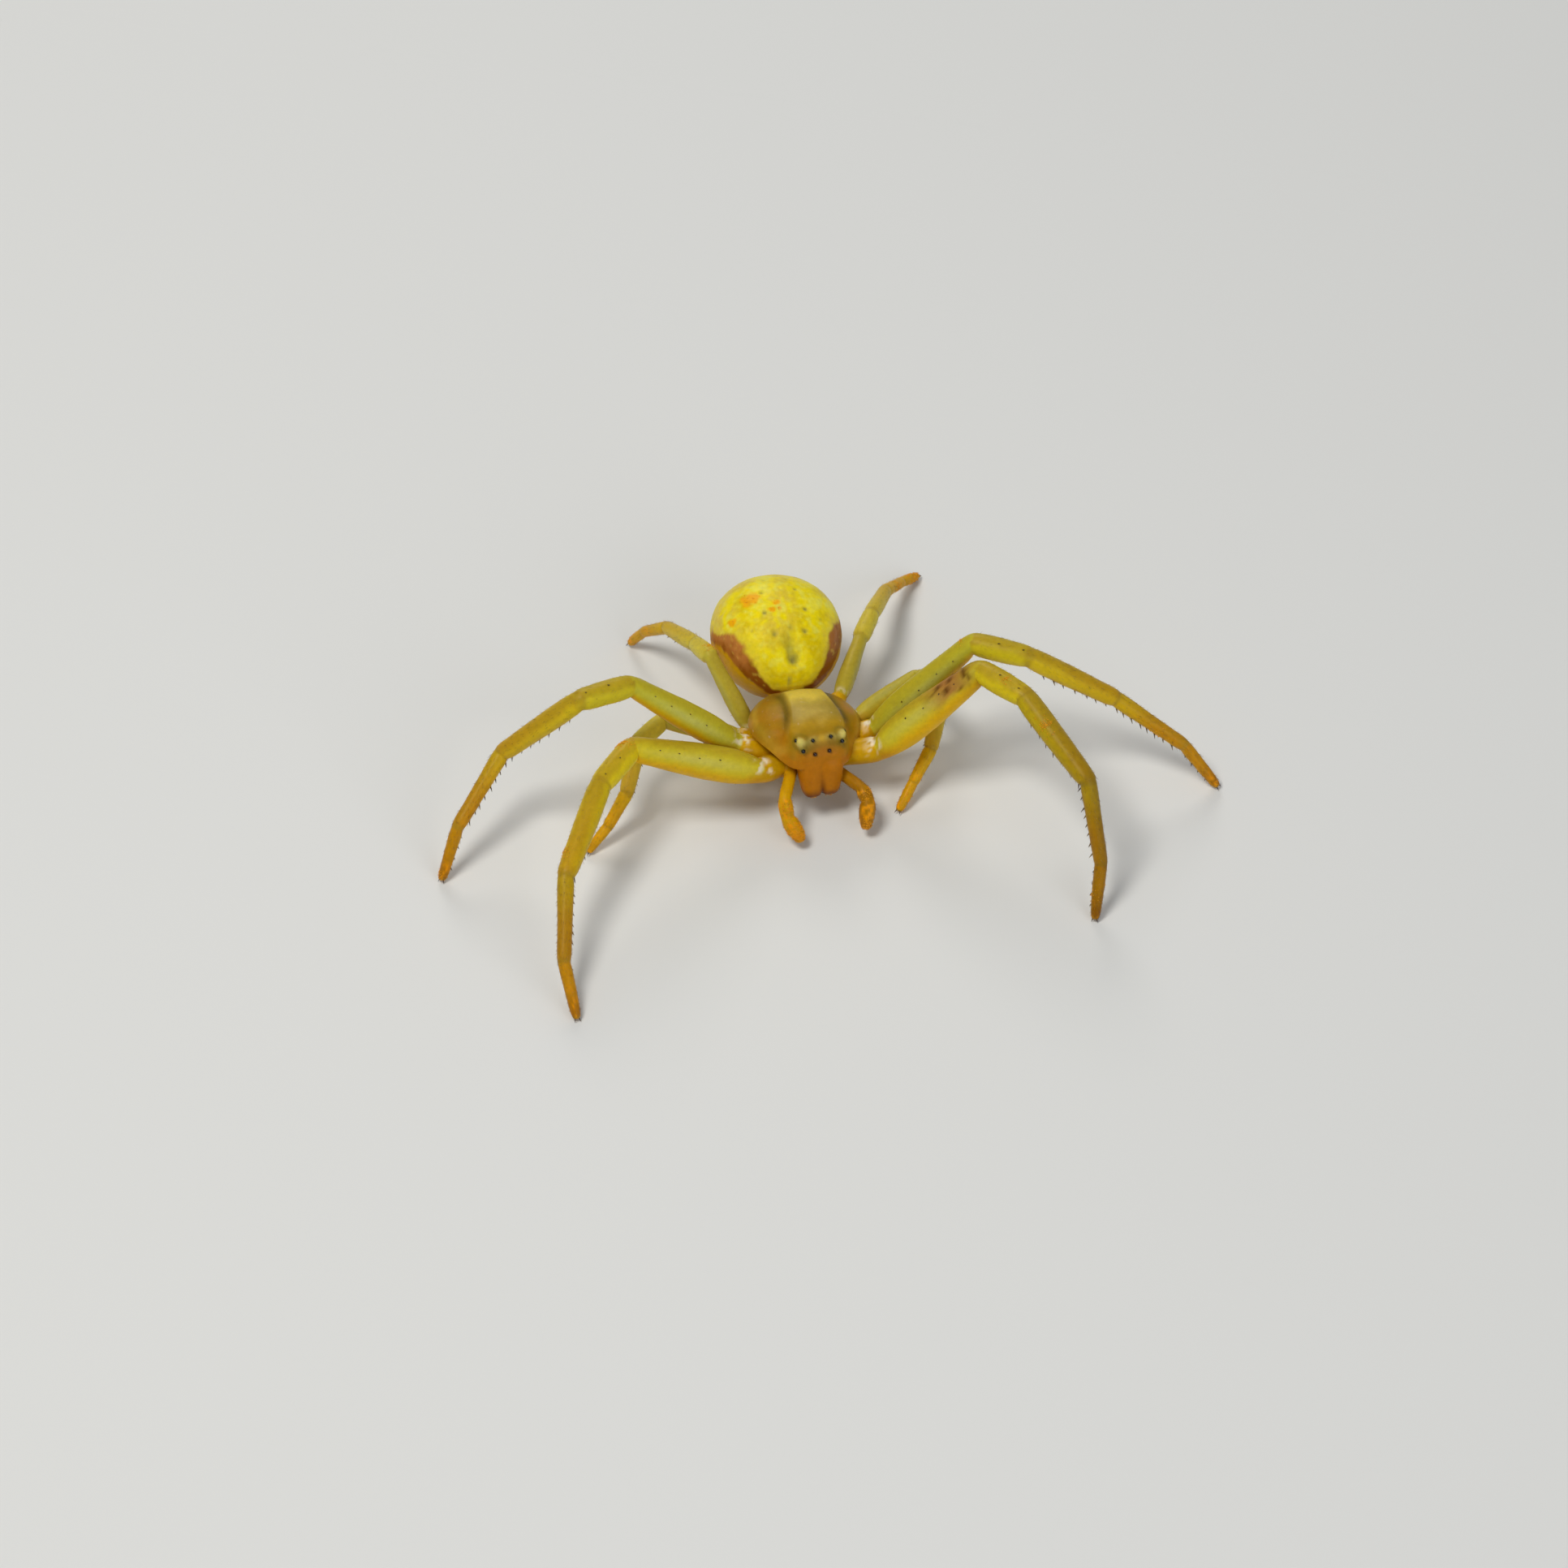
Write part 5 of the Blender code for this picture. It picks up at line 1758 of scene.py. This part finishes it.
# Number of grains in a smear for each millimetre of its reach
GRAINS_PER_MM = 16
# Spread and number of grains at the tip of each jaw
JAW_POLLEN = (0.07, 7)
# Grains made for each one counted in the lists above
GRAINS_PER_COUNT = 3


def close_to(middle, spread):
    """Density that gathers samples about a point."""
    def density(centres):
        away = np.linalg.norm(centres - middle, axis=1)
        return np.exp(-(away / spread) ** 2) + 1e-12
    return density


class SPIDER_OT_pollen(Operator):
    """Stick small clumps of pollen where the feet and palps touched"""

    bl_idname = "crab_spider.pollen"
    bl_label = "Pollen"

    def execute(self, context):
        generator = np.random.default_rng(POLLEN_SEED)
        clumps = []
        for pair, side, number, share, degrees, spread, count in POLLEN_ON_LEGS:
            joints = leg_joints(pair, side)
            point = limb_surface(joints, SEGMENT_RADII[pair], number, share, degrees)[0]
            clumps.append((np.array(point), spread, count))
        for side, number, share, spread, count in POLLEN_ON_PALPS:
            joints = palp_joints(side)
            point = joints[number].lerp(joints[number + 1], share) + Vector((0.0, -0.12, 0.08))
            clumps.append((np.array(point), spread, count))
        for across, along, reach in SMEARS:
            unit = Vector((across / ABDOMEN_HALF[0], along / ABDOMEN_HALF[1], 0.0))
            unit.z = math.sqrt(max(0.0, 1 - unit.length_squared))
            point = placed(abdomen_points(np.array([tuple(unit)])), abdomen_place())[0]
            clumps.append((point, reach * 0.7, int(GRAINS_PER_MM * reach)))
        for side in SIDES:
            tip = np.array(CHELICERA_TIP) * (side_sign(side), 1, 1)
            clumps.append((tip + (CHELICERA_SHIFT, -0.05, 0.10), *JAW_POLLEN))
        bm = bmesh.new()
        for middle, spread, count in clumps:
            places, normals, _ = skin_samples(
                generator, GRAINS_PER_COUNT * count, close_to(middle, spread),
            )
            for place, normal in zip(places, normals):
                size = sizes().pollen_radius / MM * generator.uniform(0.7, 1.2)
                pile = generator.uniform(0.1, 1.6) * size
                spot = Vector(place + normal * pile)
                if spot.z > size * 1.2:
                    bmesh.ops.create_icosphere(
                        bm, subdivisions=1, radius=size, matrix=Matrix.Translation(spot),
                    )
        thing = new_object("pollen", bm)
        thing.data.materials.append(pollen_material())
        to_frame(thing)
        return {"FINISHED"}


# Camera, in the photograph's pixels and in millimetres
PHOTO_SIZE = 1932
PHOTO_CENTRE = (989.5, 896.0)
PIXELS_PER_MM = 49.0
CAMERA_DISTANCE = 190.0
CAMERA_AZIMUTH = math.radians(-14)
CAMERA_ELEVATION = math.radians(47)
SENSOR = 36.0
# Nearest and farthest distances that the camera sees, in metres
CLIP = (0.005, 5.0)

# Half width of the floor, in metres
FLOOR_REACH = 2.0
SKY_STRENGTH = 0.24
# Name, place and width in millimetres, power and tone of each soft light
LIGHTS = (
    ("key", (-60, -20, 150), 60, 0.135, (1.0, 0.98, 0.93)),
    ("fill", (60, -140, 80), 120, 0.070, (0.97, 0.98, 1.0)),
    ("rim", (10, 130, 90), 60, 0.050, (1.0, 0.98, 0.95)),
)


def add_camera():
    """Place the camera so that the carapace's centre falls on its pixel."""
    right = Vector((math.cos(CAMERA_AZIMUTH), math.sin(CAMERA_AZIMUTH), 0))
    level = Vector((-math.sin(CAMERA_AZIMUTH), math.cos(CAMERA_AZIMUTH), 0))
    look = level * math.cos(CAMERA_ELEVATION) - UP * math.sin(CAMERA_ELEVATION)
    top = right.cross(look)
    across = (PHOTO_CENTRE[0] - PHOTO_SIZE / 2) / PIXELS_PER_MM
    down = (PHOTO_CENTRE[1] - PHOTO_SIZE / 2) / PIXELS_PER_MM
    target = Vector((*BODY_OFFSET, sizes().rim_height / MM))
    eye = target - look * CAMERA_DISTANCE - right * across + top * down
    data = bpy.data.cameras.new("camera")
    data.sensor_width = SENSOR
    data.lens = PIXELS_PER_MM * CAMERA_DISTANCE / PHOTO_SIZE * SENSOR
    data.clip_start, data.clip_end = CLIP
    camera = linked("camera", data)
    turn = Matrix((right, top, -look)).transposed().to_4x4()
    camera.matrix_world = Matrix.Translation(eye * MM) @ turn
    bpy.context.scene.camera = camera


def add_light(name, place_mm, size_mm, power, tone):
    """Round soft light that looks at the middle of the model."""
    data = bpy.data.lights.new(name, "AREA")
    data.shape = "DISK"
    data.size = size_mm * MM
    data.energy = power
    data.color = tone
    light = linked(name, data)
    light.location = Vector(place_mm) * MM
    light.rotation_euler = (-light.location).to_track_quat("-Z", "Y").to_euler()


class SPIDER_OT_stage(Operator):
    """Lay the pale floor and set the soft studio lights and the camera"""

    bl_idname = "crab_spider.stage"
    bl_label = "Stage"

    def execute(self, context):
        bm = bmesh.new()
        bmesh.ops.create_grid(bm, x_segments=1, y_segments=1, size=FLOOR_REACH)
        floor = new_object("floor", bm)
        material, _, shader = new_material("pale studio floor")
        set_inputs(shader, {"Base Color": linear("E4E4E2"), "Roughness": 0.8})
        floor.data.materials.append(material)
        world = bpy.data.worlds.new("studio")
        world.use_nodes = True
        sky = world.node_tree.nodes["Background"]
        set_inputs(sky, {"Color": linear("E8EEF4"), "Strength": SKY_STRENGTH})
        bpy.context.scene.world = world
        bpy.context.scene.view_settings.view_transform = "Standard"
        for light in LIGHTS:
            add_light(*light)
        add_camera()
        return {"FINISHED"}


class SPIDER_PT_panel(Panel):
    """Buttons in the sidebar for each group of pieces"""

    bl_idname = "SPIDER_PT_panel"
    bl_label = "Crab Spider"
    bl_space_type = "VIEW_3D"
    bl_region_type = "UI"
    bl_category = "Crab Spider"

    def draw(self, context):
        for operator in OPERATORS:
            self.layout.operator(operator.bl_idname)


OPERATORS = (
    SPIDER_OT_stage, SPIDER_OT_skin, SPIDER_OT_eyes, SPIDER_OT_hairs, SPIDER_OT_spines,
    SPIDER_OT_claws, SPIDER_OT_pollen,
)
CLASSES = (CrabSpiderSizes, CrabSpiderColours, *OPERATORS, SPIDER_PT_panel)


def register():
    for part in CLASSES:
        bpy.utils.register_class(part)
    bpy.types.Scene.crab_spider_sizes = PointerProperty(type=CrabSpiderSizes)
    bpy.types.Scene.crab_spider_colours = PointerProperty(type=CrabSpiderColours)


def unregister():
    del bpy.types.Scene.crab_spider_colours
    del bpy.types.Scene.crab_spider_sizes
    for part in reversed(CLASSES):
        bpy.utils.unregister_class(part)


def main():
    register()
    bpy.ops.crab_spider.stage()
    bpy.ops.crab_spider.skin()
    bpy.ops.crab_spider.eyes()
    bpy.ops.crab_spider.hairs()
    bpy.ops.crab_spider.spines()
    bpy.ops.crab_spider.claws()
    bpy.ops.crab_spider.pollen()


if __name__ == "__main__":
    main()
